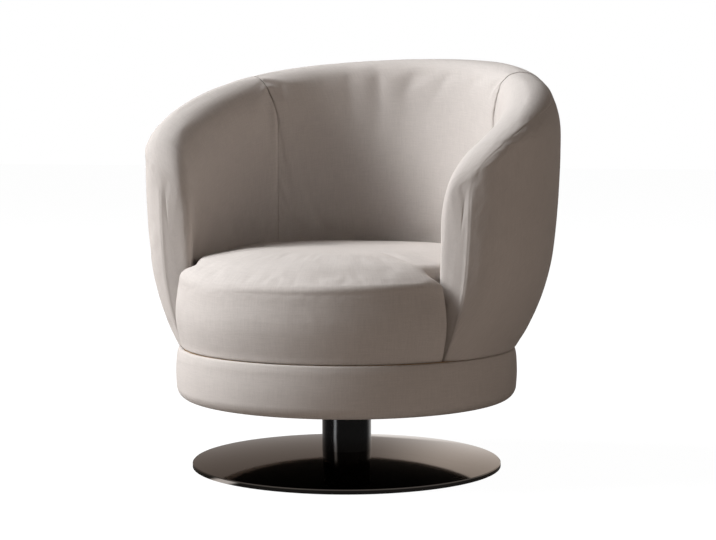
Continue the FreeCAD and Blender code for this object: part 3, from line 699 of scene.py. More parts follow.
def brush_group():
    """Fine lines drawn out along one way, as a height."""
    tree, start, end = new_group(
        "Brush lines",
        [("Vector", "NodeSocketVector", (0.0, 0.0, 0.0)), ("Stretch", "NodeSocketVector", (1.0, 1.0, 30.0)),
         ("Scale", "NodeSocketFloat", 40.0)],
        [("Height", "NodeSocketFloat")])
    stretched = add_node(tree, "ShaderNodeVectorMath", {0: start["Vector"], 1: start["Stretch"]},
                         operation="MULTIPLY")
    lines = add_node(tree, "ShaderNodeTexNoise", {"Vector": stretched.outputs[0], "Scale": start["Scale"],
                                                  "Detail": 4.0, "Roughness": 0.6})
    tree.links.new(lines.outputs["Fac"], end["Height"])
    return tree


def painted_reflections_group():
    """Painted reflections for bright metal, seen only by glossy rays: dark behind the camera, grey at the back's left
    and pale at its right.
    """
    tree, start, end = new_group(
        "Painted studio reflections",
        [("Vector", "NodeSocketVector", (0.0, 0.0, 0.0)), ("Azimuth", "NodeSocketFloat", 0.0)],
        [("Colour", "NodeSocketColor")])
    level = add_node(tree, "ShaderNodeVectorMath", {0: start["Vector"], 1: (1.0, 1.0, 0.0)}, operation="MULTIPLY")
    way = add_node(tree, "ShaderNodeVectorMath", {0: level.outputs[0]}, operation="NORMALIZE")
    turned = add_node(tree, "ShaderNodeVectorRotate", {"Vector": way.outputs[0], "Angle": math_node(
        tree, "MULTIPLY", start["Azimuth"], -1.0)}, rotation_type="Z_AXIS")
    split = add_node(tree, "ShaderNodeSeparateXYZ", {0: turned.outputs[0]})
    side = add_node(tree, "ShaderNodeMapRange", {"Value": split.outputs[0], "From Min": 0.01, "From Max": 0.11},
                    interpolation_type="SMOOTHSTEP")
    back = add_node(tree, "ShaderNodeMapRange", {"Value": split.outputs[1], "From Min": 0.2, "From Max": 0.8},
                    interpolation_type="SMOOTHSTEP")
    behind = mix_colour(tree, side.outputs[0], (0.34, 0.32, 0.31), (1.0, 0.98, 0.96))
    around = mix_colour(tree, back.outputs[0], (0.10, 0.10, 0.10), behind)
    # A bright painted highlight band at the left, on the camera's side, which bright metal shows as a glint in place of
    # the lamps.
    off_painted_glint = math_node(tree, "ABSOLUTE", math_node(tree, "ADD", split.outputs[0], 0.80))
    painted_glint = add_node(tree, "ShaderNodeMapRange", {"Value": off_painted_glint, "From Min": 0.09, "From Max": 0.03},
                      interpolation_type="SMOOTHSTEP")
    front = add_node(tree, "ShaderNodeMath", {0: split.outputs[1], 1: 0.0}, operation="LESS_THAN")
    painted_glint_here = math_node(tree, "MULTIPLY", painted_glint.outputs[0], front.outputs[0])
    around = mix_colour(tree, painted_glint_here, around, (4.0, 4.1, 4.2))
    whole = add_node(tree, "ShaderNodeVectorMath", {0: start["Vector"]}, operation="NORMALIZE")
    height = add_node(tree, "ShaderNodeSeparateXYZ", {0: whole.outputs[0]}).outputs[2]
    above = add_node(tree, "ShaderNodeMapRange", {"Value": height, "From Min": 0.42, "From Max": 0.62},
                     interpolation_type="SMOOTHSTEP")
    tree.links.new(mix_colour(tree, above.outputs[0], around, (0.66, 0.64, 0.62)), end["Colour"])
    return tree


def shared(name, make):
    return bpy.data.node_groups.get(name) or make()


def new_material(name):
    material = bpy.data.materials.new(name)
    material.use_nodes = True
    tree = material.node_tree
    return material, tree, tree.nodes["Principled BSDF"]


def place_group(tree, group, values):
    made = tree.nodes.new("ShaderNodeGroup")
    made.node_tree = group
    for name, value in values.items():
        if isinstance(value, bpy.types.NodeSocket):
            tree.links.new(value, made.inputs[name])
        else:
            made.inputs[name].default_value = value
    return made


def object_place(tree):
    return add_node(tree, "ShaderNodeTexCoord").outputs["Object"]


def toned(tree, base, tones):
    """The base colour times one or more tones."""
    result = base
    for tone in tones:
        grey = add_node(tree, "ShaderNodeCombineColor", {0: tone, 1: tone, 2: tone}).outputs[0]
        result = mix_colour(tree, 1.0, result, grey, "MULTIPLY")
    return result


def bumped(tree, height, strength, distance, normal=None):
    values = {"Height": height, "Strength": strength, "Distance": distance}
    if normal:
        values["Normal"] = normal
    return add_node(tree, "ShaderNodeBump", values).outputs["Normal"]


def cloth_material(finishes):
    material, tree, shader = new_material("greige_upholstery_cloth")
    uv = add_node(tree, "ShaderNodeUVMap", uv_map="Cloth").outputs["UV"]
    here = object_place(tree)
    weave = place_group(tree, shared("Plain weave", weave_group), {"Vector": uv, "Threads per metre": 1100.0})
    mottle = place_group(tree, shared("Soft mottle", mottle_group), {"Vector": here, "Scale": 9.0, "Amount": 0.10})
    thread = math_node(tree, "MULTIPLY_ADD", weave.outputs["Tone"], 0.10)
    thread.node.inputs[2].default_value = 0.95
    # The weave's height also sets the tone: painted shade darkens the hollows between threads.
    gap = math_node(tree, "MULTIPLY_ADD", weave.outputs["Height"], 0.10)
    gap.node.inputs[2].default_value = 0.95
    slub = math_node(tree, "MULTIPLY_ADD", weave.outputs["Slub"], 0.36)
    slub.node.inputs[2].default_value = 0.82
    base = toned(tree, tuple(finishes.cloth), [mottle.outputs["Tone"], thread, gap, slub])
    tree.links.new(base, shader.inputs["Base Color"])
    rough = math_node(tree, "MULTIPLY_ADD", weave.outputs["Tone"], 0.10)
    rough.node.inputs[2].default_value = 0.78
    tree.links.new(rough, shader.inputs["Roughness"])
    nap = add_node(tree, "ShaderNodeTexNoise", {"Vector": here, "Scale": 140.0, "Detail": 3.0}).outputs["Fac"]
    slow = bumped(tree, nap, 0.12, 0.0010)
    tree.links.new(bumped(tree, weave.outputs["Height"], 0.25, 0.0002, slow), shader.inputs["Normal"])
    shader.inputs["Specular IOR Level"].default_value = 0.25
    shader.inputs["Sheen Weight"].default_value = 0.15
    shader.inputs["Sheen Roughness"].default_value = 0.45
    shader.inputs["Sheen Tint"].default_value = (0.95, 0.90, 0.86, 1.0)
    return material


def metal_material(name, base, metallic, roughness, spread, stretch, edge_tint=None):
    """A metal whose roughness and height follow fine brush lines."""
    material, tree, shader = new_material(name)
    here = object_place(tree)
    lines = place_group(tree, shared("Brush lines", brush_group), {"Vector": here, "Stretch": stretch, "Scale": 55.0})
    mottle = place_group(tree, shared("Soft mottle", mottle_group), {"Vector": here, "Scale": 7.0, "Amount": 0.20})
    tree.links.new(toned(tree, tuple(base), [mottle.outputs["Tone"]]), shader.inputs["Base Color"])
    rough = math_node(tree, "MULTIPLY_ADD", lines.outputs["Height"], spread)
    rough.node.inputs[2].default_value = roughness
    tree.links.new(rough, shader.inputs["Roughness"])
    tree.links.new(bumped(tree, lines.outputs["Height"], 0.03, 0.0002), shader.inputs["Normal"])
    shader.inputs["Metallic"].default_value = metallic
    if edge_tint:
        shader.inputs["Specular Tint"].default_value = (*edge_tint, 1.0)
    return material


def gloss_black_material(name, base, roughness, level):
    material, tree, shader = new_material(name)
    here = object_place(tree)
    mottle = place_group(tree, shared("Soft mottle", mottle_group), {"Vector": here, "Scale": 30.0, "Amount": 0.3})
    tree.links.new(toned(tree, tuple(base), [mottle.outputs["Tone"]]), shader.inputs["Base Color"])
    peel = add_node(tree, "ShaderNodeTexNoise", {"Vector": here, "Scale": 260.0, "Detail": 1.0}).outputs["Fac"]
    rough = math_node(tree, "MULTIPLY_ADD", peel, 0.08)
    rough.node.inputs[2].default_value = roughness
    tree.links.new(rough, shader.inputs["Roughness"])
    tree.links.new(bumped(tree, peel, 0.02, 0.0002), shader.inputs["Normal"])
    shader.inputs["Specular IOR Level"].default_value = level
    return material


def plywood_material(finishes):
    """Birch plywood: long grain, with the thin plies as level bands."""
    material, tree, shader = new_material("birch_plywood")
    here = object_place(tree)
    grain = place_group(tree, shared("Brush lines", brush_group),
                        {"Vector": here, "Stretch": (9.0, 1.0, 9.0), "Scale": 12.0})
    split = add_node(tree, "ShaderNodeSeparateXYZ", {0: here})
    plies = math_node(tree, "SINE", math_node(tree, "MULTIPLY", split.outputs[2], 2.0 * math.pi / 0.0036))
    band = math_node(tree, "MULTIPLY_ADD", plies, 0.09)
    band.node.inputs[2].default_value = 0.93
    figure = math_node(tree, "MULTIPLY_ADD", grain.outputs["Height"], 0.5)
    figure.node.inputs[2].default_value = 0.75
    tree.links.new(toned(tree, tuple(finishes.plywood), [band, figure]), shader.inputs["Base Color"])
    tree.links.new(bumped(tree, grain.outputs["Height"], 0.2, 0.0004), shader.inputs["Normal"])
    shader.inputs["Roughness"].default_value = 0.62
    return material


def woven_material(name, base, threads):
    material, tree, shader = new_material(name)
    here = object_place(tree)
    weave = place_group(tree, shared("Plain weave", weave_group), {"Vector": here, "Threads per metre": threads})
    # The weave's height sets the tone: painted shade darkens the hollows between threads.
    tone = math_node(tree, "MULTIPLY_ADD", weave.outputs["Height"], 0.5)
    tone.node.inputs[2].default_value = 0.7
    tree.links.new(toned(tree, tuple(base), [tone]), shader.inputs["Base Color"])
    tree.links.new(bumped(tree, weave.outputs["Height"], 0.5, 0.0005), shader.inputs["Normal"])
    shader.inputs["Roughness"].default_value = 0.9
    return material


def moulded_material(name, base):
    material, tree, shader = new_material(name)
    here = object_place(tree)
    mottle = place_group(tree, shared("Soft mottle", mottle_group), {"Vector": here, "Scale": 60.0, "Amount": 0.12})
    tree.links.new(toned(tree, tuple(base), [mottle.outputs["Tone"]]), shader.inputs["Base Color"])
    grain = add_node(tree, "ShaderNodeTexNoise", {"Vector": here, "Scale": 900.0}).outputs["Fac"]
    tree.links.new(bumped(tree, grain, 0.1, 0.0002), shader.inputs["Normal"])
    shader.inputs["Roughness"].default_value = 0.45
    return material


def dress(names, material):
    for name in names:
        mesh = nodes[name].data
        for index in range(len(mesh.materials)):
            mesh.materials[index] = material
        if not mesh.materials:
            mesh.materials.append(material)


def cloth(context):
    return bpy.data.materials.get("greige_upholstery_cloth") or cloth_material(context.scene.chair_finishes)


# Operators


class UpholsterBack(bpy.types.Operator):
    """Makes the back's padded panel, which runs from the inside over the rim to the outside"""

    bl_idname = "lounge_chair.upholster_back"
    bl_label = "Upholster back"

    def execute(self, context):
        tub = context.scene.chair_tub
        wall = Wall(tub)
        planes = back_planes(tub)
        columns = {}
        for angle, nose in planes:
            flat = wall.column(angle, nose)[1]
            lengths = running_lengths(flat)
            columns[angle] = (lengths[RIM_SEAM_ROW] - lengths[CREST_ROW])
        half = tub.seam_angle * (tub.inner_radius + 0.03)

        def relief(place, point):
            to_seam = (tub.seam_angle - abs(place.angle)) * math.hypot(point.x, point.y)
            value = seam_dip(to_seam, tub.seam_depth * seam_fade(place), tub.seam_width)
            value += seam_dip(place.up - columns[place.angle], 0.6 * tub.seam_depth, tub.seam_width)
            value += self.folds(place, point, half)
            value += 0.0008 * low_noise(point, 7.0, 3.0)
            return value * smooth_step(tub.foot_height, tub.foot_height + 0.01, point.z)

        piece, places = wall_piece("back_upholstery", wall, planes, 1.0, relief, cloth(context))
        ends = tub.seam_angle - 0.008
        settle(context, piece, wall_hold(tub, piece, places, lambda place: abs(place.angle) > ends), 1.0, 0.004, 0.0035)
        subdivide(piece, 1)
        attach(piece, "chair")
        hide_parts("inside_back_cover", "outside_back_cover", "back_pad")
        return {"FINISHED"}

    def folds(self, place, point, half):
        """Soft upright folds below the rim on the inside, and puckers at the panel seams."""
        if place.row < CREST_ROW:
            return 0.0
        down = place.up
        degrees = math.degrees(place.angle)
        value = 0.0
        for centre, width, depth, low in ((-27.0, 2.2, 0.9, 0.16), (-21.5, 2.0, -1.3, 0.20), (-15.5, 2.2, 1.2, 0.22),
                                          (-10.0, 2.4, -1.2, 0.24), (-3.5, 2.8, 0.9, 0.22), (4.0, 3.2, -0.6, 0.20)):
            lean = centre - 9.0 * down
            reach_down = smooth_step(0.0, 0.05, down) * (1.0 - smooth_step(0.4 * low, low, down))
            value += 0.0006 * depth * bump(degrees, lean, width) * reach_down
        to_seam = half - abs(math.radians(degrees)) * (half / math.radians(53.0))
        pucker = math.sin(down * 330.0 + 1.7 * math.sin(down * 90.0))
        value += 0.0009 * pucker * bump(to_seam, 0.006, 0.012) * bump(down, 0.05, 0.045)
        return value


NOSE_PINCH = 0.0035
NOSE_PINCH_WIDTH = 0.018


class UpholsterArms(bpy.types.Operator):
    """Makes the two arms' padded panels with their rounded fronts and the outside panels' seams"""

    bl_idname = "lounge_chair.upholster_arms"
    bl_label = "Upholster arms"

    def execute(self, context):
        tub = context.scene.chair_tub
        wall = Wall(tub)
        planes = arm_planes(tub)
        rims = {}
        for angle, nose in planes:
            lengths = running_lengths(wall.column(angle, nose)[1])
            rims[(angle, nose)] = lengths[RIM_SEAM_ROW] - lengths[CREST_ROW]
        last_rim = rims[planes[-1]]
        nose_angle = math.asin(tub.nose_seam)
        nose_size = 0.050

        def relief(place, point):
            rim_up = rims.get((place.angle, place.nose), last_rim)
            to_seam = (place.angle - tub.seam_angle) * math.hypot(point.x, point.y)
            value = 0.0
            if place.nose == 0.0:
                value = seam_dip(to_seam, tub.seam_depth * seam_fade(place), tub.seam_width)
            turned = math.asin(place.nose)
            nose_gap = (turned - nose_angle) * nose_size
            if place.nose == 0.0:
                nose_gap -= (front_angle(tub) - place.angle) * tub.outer_radius
            elif place.row >= CREST_ROW:
                nose_gap = (math.pi - turned - nose_angle) * nose_size
            below = rim_up - place.up if place.row < CREST_ROW else place.up - rim_up
            if place.row < CREST_ROW:
                gap = rim_and_nose_seam(tub, place, rim_up, nose_gap)
                value += seam_dip(gap, blend(0.25, 0.8, smooth_step(0.0, 0.05, below)) * tub.seam_depth,
                                  0.6 * tub.seam_width)
            if place.nose > 0.0:
                pinch = max(0.0, 1.0 - abs(nose_gap) / NOSE_PINCH_WIDTH) ** 1.5
                value += NOSE_PINCH * pinch * smooth_step(0.0, 0.06, below)
            pucker = math.sin(place.up * 310.0 + 1.3 * math.sin(place.up * 80.0))
            value += 0.0006 * pucker * bump(to_seam, 0.005, 0.011) * bump(place.up, 0.05, 0.04)
            value += 0.0009 * low_noise(point, 6.0, 8.0)
            return value * smooth_step(tub.foot_height, tub.foot_height + 0.01, point.z)

        for word, side in (("left", 1.0), ("right", -1.0)):
            piece, places = wall_piece("arm_upholstery_" + word, wall, planes, side, relief, cloth(context))
            settle(context, piece, wall_hold(tub, piece, places, lambda place: place.angle < tub.seam_angle + 0.008
                                             or place.nose > 0.93), 1.0, 0.002, 0.0018)
            subdivide(piece, 1)
            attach(piece, "chair")
            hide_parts("inside_arm_cover_" + word, "outside_arm_cover_" + word, "arm_pad_" + word)
        return {"FINISHED"}


SIDE_SWELL = 0.005
END_SWELL = 0.007
SEAT_CIRCLE = 0.245
TOP_RINGS = (0.008, 0.018, 0.03, 0.045, 0.065, 0.09, 0.125, 0.17, 0.225, 0.29, 0.36, 0.44, 0.53, 0.62, 0.71, 0.80, 0.90, 1.0)


def seat_dome(seat, x, y):
    """Height of the cushion's top before its edges are rounded."""
    inside = seat.side_radius - math.hypot(x, y)
    front = 1.0 - smooth_step(-seat.shoulder, 0.11, y)
    contact = blend(seat.back_height, seat.front_height, 1.0 - smooth_step(-0.04, 0.11, y))
    if inside < 0.0:
        tilt = 0.0062 * smooth_step(0.0, 0.28, x)
        slope = blend(0.35, seat.front_slope, smooth_step(-0.28, -0.12, x))
        return contact + slope * inside + tilt * min(-inside / 0.025, 1.0)
    rise = seat.crown_height - contact
    return contact + rise * (1.0 - math.exp(-inside / blend(0.055, 0.027, front)))


def seat_edge_round(seat, x, y):
    """Radius of the top's edge at the nearest part of the outline."""
    crisp = smooth_step(-0.22, -0.02, x) * (1.0 - smooth_step(0.235, 0.268, x))
    front = blend(0.018, seat.crease_round, crisp)
    return blend(seat.edge_round, front, 1.0 - smooth_step(-seat.shoulder - 0.012, -seat.shoulder + 0.004, y))


def seat_top(seat, x, y, gap, edge):
    """Height of the top at a distance from the outline."""
    dome = seat_dome(seat, x, y)
    if gap >= edge:
        return dome
    return dome - edge * (1.0 - math.sqrt(1.0 - (1.0 - gap / edge) ** 2))


class UpholsterSeat(bpy.types.Operator):
    """Makes the crowned seat cushion, whose front widens past the arms"""

    bl_idname = "lounge_chair.upholster_seat"
    bl_label = "Upholster seat"

    def execute(self, context):
        seat = context.scene.chair_seat
        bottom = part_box("seat_cover")[0].z
        outline = seat_outline(seat)
        count = len(outline)
        edges = [seat_edge_round(seat, x, y) for x, y in outline]
        targets = seat_targets(seat, outline)
        tree = kdtree.KDTree(count)
        for index, (x, y) in enumerate(outline):
            tree.insert(Vector((x, y, 0.0)), index)
        tree.balance()
        points = []
        uv = []
        rows = []

        def add_row(places, along):
            rows.append(list(range(len(points), len(points) + count)))
            for x, y, z in places:
                points.append(Vector((x, y, z)))
                uv.append((math.atan2(x, -y) * seat.side_radius, along))

        low = 1.0 - (seat.tuck + 0.0025) / seat.front_radius
        for size in (0.30, 0.65):
            add_row([(a * size, b * size, bottom) for a, b in targets], size * seat.side_radius)
        for part in (1.0, 0.60, 0.25, 0.06):
            add_row([(blend(x * low, a, part), blend(y * low, b, part), bottom)
                     for (x, y), (a, b) in zip(outline, targets)], seat.side_radius * (1.0 - 0.1 * part))
        for part in spaced(22, 0.5, 0.6):
            turn_under = 0.0025 * (1.0 - min(part / 0.035, 1.0)) ** 2
            wall = 1.0 - (seat.tuck * (1.0 - part) ** 2.2 + turn_under) / seat.front_radius
            row = []
            for (x, y), edge in zip(outline, edges):
                swell = SIDE_SWELL * smooth_step(-seat.shoulder, -seat.shoulder - 0.03, y) if y < -seat.shoulder else 0.0
                size = wall + swell / seat.front_radius * math.sin(math.pi * part) ** 2
                top = seat_top(seat, x, y, 0.0, edge)
                end = END_SWELL * smooth_step(0.215, 0.262, abs(x)) * math.sin(math.pi * part) if swell > 0.0 else 0.0
                row.append((x * size + math.copysign(end, x), y * size, blend(bottom, top, part)))
            add_row(row, 0.35 + 0.12 * part)
        for part in TOP_RINGS:
            row = []
            for (x, y), (a, b) in zip(outline, targets):
                px, py = blend(x, a, part), blend(y, b, part)
                near = tree.find(Vector((px, py, 0.0)))
                z = seat_top(seat, px, py, near[2], edges[near[1]])
                z += 0.0011 * low_noise(Vector((px, py, 0.0)), 11.0, 5.0) * smooth_step(0.0, 0.04, near[2])
                row.append((px, py, z))
            add_row(row, 0.47 + part * (seat.front_radius - SEAT_CIRCLE))
        for size in (0.94, 0.88, 0.81, 0.73, 0.64, 0.54, 0.44, 0.34, 0.24, 0.13):
            row = []
            for a, b in targets:
                px, py = a * size, b * size
                z = seat_dome(seat, px, py) + 0.0011 * low_noise(Vector((px, py, 0.0)), 11.0, 5.0)
                row.append((px, py, z))
            add_row(row, 0.54 + (1.0 - size) * SEAT_CIRCLE)
        faces = []
        for low, high in zip(rows, rows[1:]):
            for i in range(count):
                j = (i + 1) % count
                faces.append((low[i], low[j], high[j], high[i]))
        for row, height in ((rows[0], bottom), (rows[-1], seat.crown_height)):
            points.append(Vector((0.0, 0.0, height)))
            uv.append((0.0, 0.54 + SEAT_CIRCLE))
            faces += [(row[i], row[(i + 1) % count], len(points) - 1) for i in range(count)]
        piece = new_piece("seat_upholstery", points, faces, cloth(context), uv)
        settle(context, piece, self.hold(seat, piece, bottom), 1.0, 0.004, 0.0035)
        subdivide(piece, 1)
        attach(piece, "chair")
        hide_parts("seat_cover", "seat_foam")
        return {"FINISHED"}

    def hold(self, seat, piece, bottom):
        """How firmly each point is held: wholly underneath and between the arms, and well along the crease."""
        hold = []
        for vertex in piece.data.vertices:
            x, y, z = vertex.co
            radius = math.hypot(x, y)
            under = 1.0 - smooth_step(bottom + 0.002, bottom + 0.02, z)
            enclosed = smooth_step(-seat.shoulder - 0.010, -seat.shoulder, y) * smooth_step(0.262, 0.275, radius)
            crease = 0.9 * bump(radius, 0.312, 0.004) * smooth_step(0.345, 0.352, z)
            hold.append(max(under, enclosed, crease))
        return hold


def seat_targets(seat, outline):
    """Where each point of the outline ends on the top's inner circle, so that no two lines to it cross."""
    out_x = math.sqrt(seat.front_radius ** 2 - seat.shoulder ** 2)
    in_x = math.sqrt(seat.side_radius ** 2 - seat.shoulder ** 2)
    marks = [(out_x, -seat.shoulder, -44.0), (in_x, -seat.shoulder, -40.0), (seat.side_radius, 0.0, 0.0),
             (0.0, seat.side_radius, 90.0), (-seat.side_radius, 0.0, 180.0), (-in_x, -seat.shoulder, 220.0),
             (-out_x, -seat.shoulder, 224.0), (0.0, -seat.front_radius, 270.0)]
    count = len(outline)
    nearest = [min(range(count), key=lambda i: math.hypot(outline[i][0] - x, outline[i][1] - y)) for x, y, turn in marks]
    targets = [None] * count
    for k, (x, y, turn) in enumerate(marks):
        start, end = nearest[k], nearest[(k + 1) % len(marks)]
        steps = (end - start) % count
        gain = (marks[(k + 1) % len(marks)][2] - turn) % 360.0
        for i in range(steps):
            angle = math.radians(turn + gain * i / steps)
            targets[(start + i) % count] = (SEAT_CIRCLE * math.cos(angle), SEAT_CIRCLE * math.sin(angle))
    return targets


def seat_outline(seat):
    """The cushion's outline seen from above, with its corners softened."""
    step = 0.002
    inner = math.asin(seat.shoulder / seat.side_radius)
    outer = math.asin(seat.shoulder / seat.front_radius)
    raw = []
    arc = math.pi - 2.0 * outer
    count = int(arc * seat.front_radius / step)
    for i in range(count + 1):
        value = -math.pi / 2.0 - arc / 2.0 + arc * i / count
        raw.append((seat.front_radius * math.cos(value), seat.front_radius * math.sin(value)))
    shoulder_in = seat.side_radius * math.cos(inner)
    shoulder_out = seat.front_radius * math.cos(outer)
    count = int((shoulder_out - shoulder_in) / step)
    raw += [(blend(shoulder_out, shoulder_in, i / count), -seat.shoulder) for i in range(1, count)]
    arc = math.pi + 2.0 * inner
    count = int(arc * seat.side_radius / step)
    for i in range(count + 1):
        value = -inner + arc * i / count
        raw.append((seat.side_radius * math.cos(value), seat.side_radius * math.sin(value)))
    count = int((shoulder_out - shoulder_in) / step)
    raw += [(-blend(shoulder_in, shoulder_out, i / count), -seat.shoulder) for i in range(1, count)]
    reach_steps = 4
    size = len(raw)
    soft = []
    for i in range(size):
        total = [0.0, 0.0, 0.0]
        for k in range(-3 * reach_steps, 3 * reach_steps + 1):
            weight = bump(k, 0.0, reach_steps)
            x, y = raw[(i + k) % size]
            total = [total[0] + weight * x, total[1] + weight * y, total[2] + weight]
        soft.append((total[0] / total[2], total[1] / total[2]))
    corners = [(s * shoulder_out, -seat.shoulder) for s in (1, -1)] + [(s * shoulder_in, -seat.shoulder) for s in (1, -1)]
    kept = []
    travelled = 1.0
    for i in range(size):
        x, y = soft[i]
        px, py = soft[i - 1]
        travelled += math.hypot(x - px, y - py)
        near = min(math.hypot(x - a, y - b) for a, b in corners)
        if travelled >= (0.0025 if near < 0.022 else 0.007):
            kept.append((x, y))
            travelled = 0.0
    return kept


class UpholsterPlinth(bpy.types.Operator):
    """Makes the plinth's padded band"""

    bl_idname = "lounge_chair.upholster_plinth"
    bl_label = "Upholster plinth"

    def execute(self, context):
        plinth = context.scene.chair_plinth
        low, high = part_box("plinth_cover")
        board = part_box("plinth_upper_board")[1].x
        shoulder = context.scene.chair_tub.foot_radius - 0.001
        lip = plinth.radius - 0.0495
        gap = 0.0003
        cloth_thickness = 0.002
        bottom, top = low.z, high.z
        profile = [(lip + (plinth.radius - plinth.lower_round - lip) * p, bottom) for p in spaced(6)]
        start = (plinth.radius - plinth.lower_round, bottom)
        end = (plinth.radius, bottom + plinth.lower_round)
        for edge in soft_corner(start, (1.0, 0.0), end, (0.0, 1.0)):
            profile += edge_points(edge, spaced(6)[1:])
        side_end = top - plinth.upper_round
        for part in spaced(10)[1:]:
            swell = plinth.swell * math.sin(math.pi * part)
            profile.append((plinth.radius + swell, blend(end[1], side_end, part)))
        upper = tangent_arc((plinth.radius, side_end), (0.0, 1.0), (shoulder, top - gap))
        profile += edge_points(upper, spaced(8)[1:])
        inner = board + gap
        profile += [(blend(shoulder, inner, p), top) for p in (0.5, 1.0)]
        profile += [(inner, blend(top, bottom + cloth_thickness, p)) for p in (0.3, 0.6, 0.97)]
        profile += [(blend(inner, lip, p), bottom + 0.9 * cloth_thickness) for p in (0.1, 0.5, 1.0)]
        count = 220
        points = []
        uv = []
        heights = running_lengths(profile)
        for i in range(count):
            angle = 2.0 * math.pi * i / count
            for k, (radius, z) in enumerate(profile):
                wave = 0.0
                if k > 12 and k < 30:
                    spot = Vector((math.sin(angle), math.cos(angle), 4.0 * z))
                    wave = 0.0006 * noise.noise(spot * 2.6)
                r = radius + wave
                points.append(Vector((r * math.sin(angle), r * math.cos(angle), z)))
                uv.append((angle * plinth.radius, heights[k]))
        rows = len(profile)
        faces = []
        for i in range(count):
            for k in range(rows):
                a, b = i * rows + k, i * rows + (k + 1) % rows
                c, d = (i + 1) % count * rows + (k + 1) % rows, (i + 1) % count * rows + k
                faces.append((a, b, c, d))
        piece = new_piece("plinth_upholstery", points, faces, cloth(context), uv)
        subdivide(piece, 1)
        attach(piece, "chair")
        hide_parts("plinth_cover", "plinth_pad")
        return {"FINISHED"}


class FinishBase(bpy.types.Operator):
    """Finishes the disc, the column and the felt under the disc"""

    bl_idname = "lounge_chair.finish_base"
    bl_label = "Finish base"

    def execute(self, context):
        finishes = context.scene.chair_finishes
        disc = metal_material("black_nickel_disc", finishes.disc, 1.0, 0.055, 0.03, (1.0, 1.0, 1.0),
                              edge_tint=(0.84, 0.76, 0.70))
        dress(["base_disc"], disc)
        dress(["column_tube"], gloss_black_material("gloss_black_column", finishes.column, 0.10, 0.5))
        dress(["floor_felt"], woven_material("pressed_felt", finishes.felt, 500.0))
        return {"FINISHED"}


class FinishBearing(bpy.types.Operator):
    """Finishes the swivel bearing, its plate and the fasteners"""

    bl_idname = "lounge_chair.finish_bearing"
    bl_label = "Finish bearing"

    def execute(self, context):
        zinc = metal_material("zinc_plated_steel", context.scene.chair_finishes.zinc, 1.0, 0.30, 0.15, (1.0, 1.0, 6.0))
        ground = metal_material("ground_bearing_steel", (0.48, 0.49, 0.51), 1.0, 0.12, 0.10, (1.0, 1.0, 12.0))
        dress(["base_screws", "plate_bolts", "plate_washers", "tee_nuts", "tub_screws", "retainer_washer",
               "retaining_clip", "spindle", "column_foot", "bearing_housing"], zinc)
        dress(["lower_race", "upper_race", "bearing_balls"], ground)
        dress(["ball_cage", "lower_bush", "upper_bush"], moulded_material("natural_acetal", (0.70, 0.67, 0.58)))
        dress(["swivel_plate"], gloss_black_material("satin_black_plate", (0.012, 0.012, 0.012), 0.38, 0.5))
        return {"FINISHED"}


class FinishFrame(bpy.types.Operator):
    """Finishes the plywood frame, the webbing and the dust cover"""

    bl_idname = "lounge_chair.finish_frame"
    bl_label = "Finish frame"

    def execute(self, context):
        wood = [name for name in nodes if name.startswith("upright_") or name.endswith(("_rail", "_board"))]
        dress(wood + ["plinth_ring", "seat_ring"], plywood_material(context.scene.chair_finishes))
        dress(["webbing_crosswise", "webbing_lengthwise"], woven_material("elastic_webbing", (0.03, 0.028, 0.025), 600.0))
        dress(["dust_cover"], woven_material("black_dust_cloth", (0.008, 0.008, 0.008), 800.0))
        return {"FINISHED"}


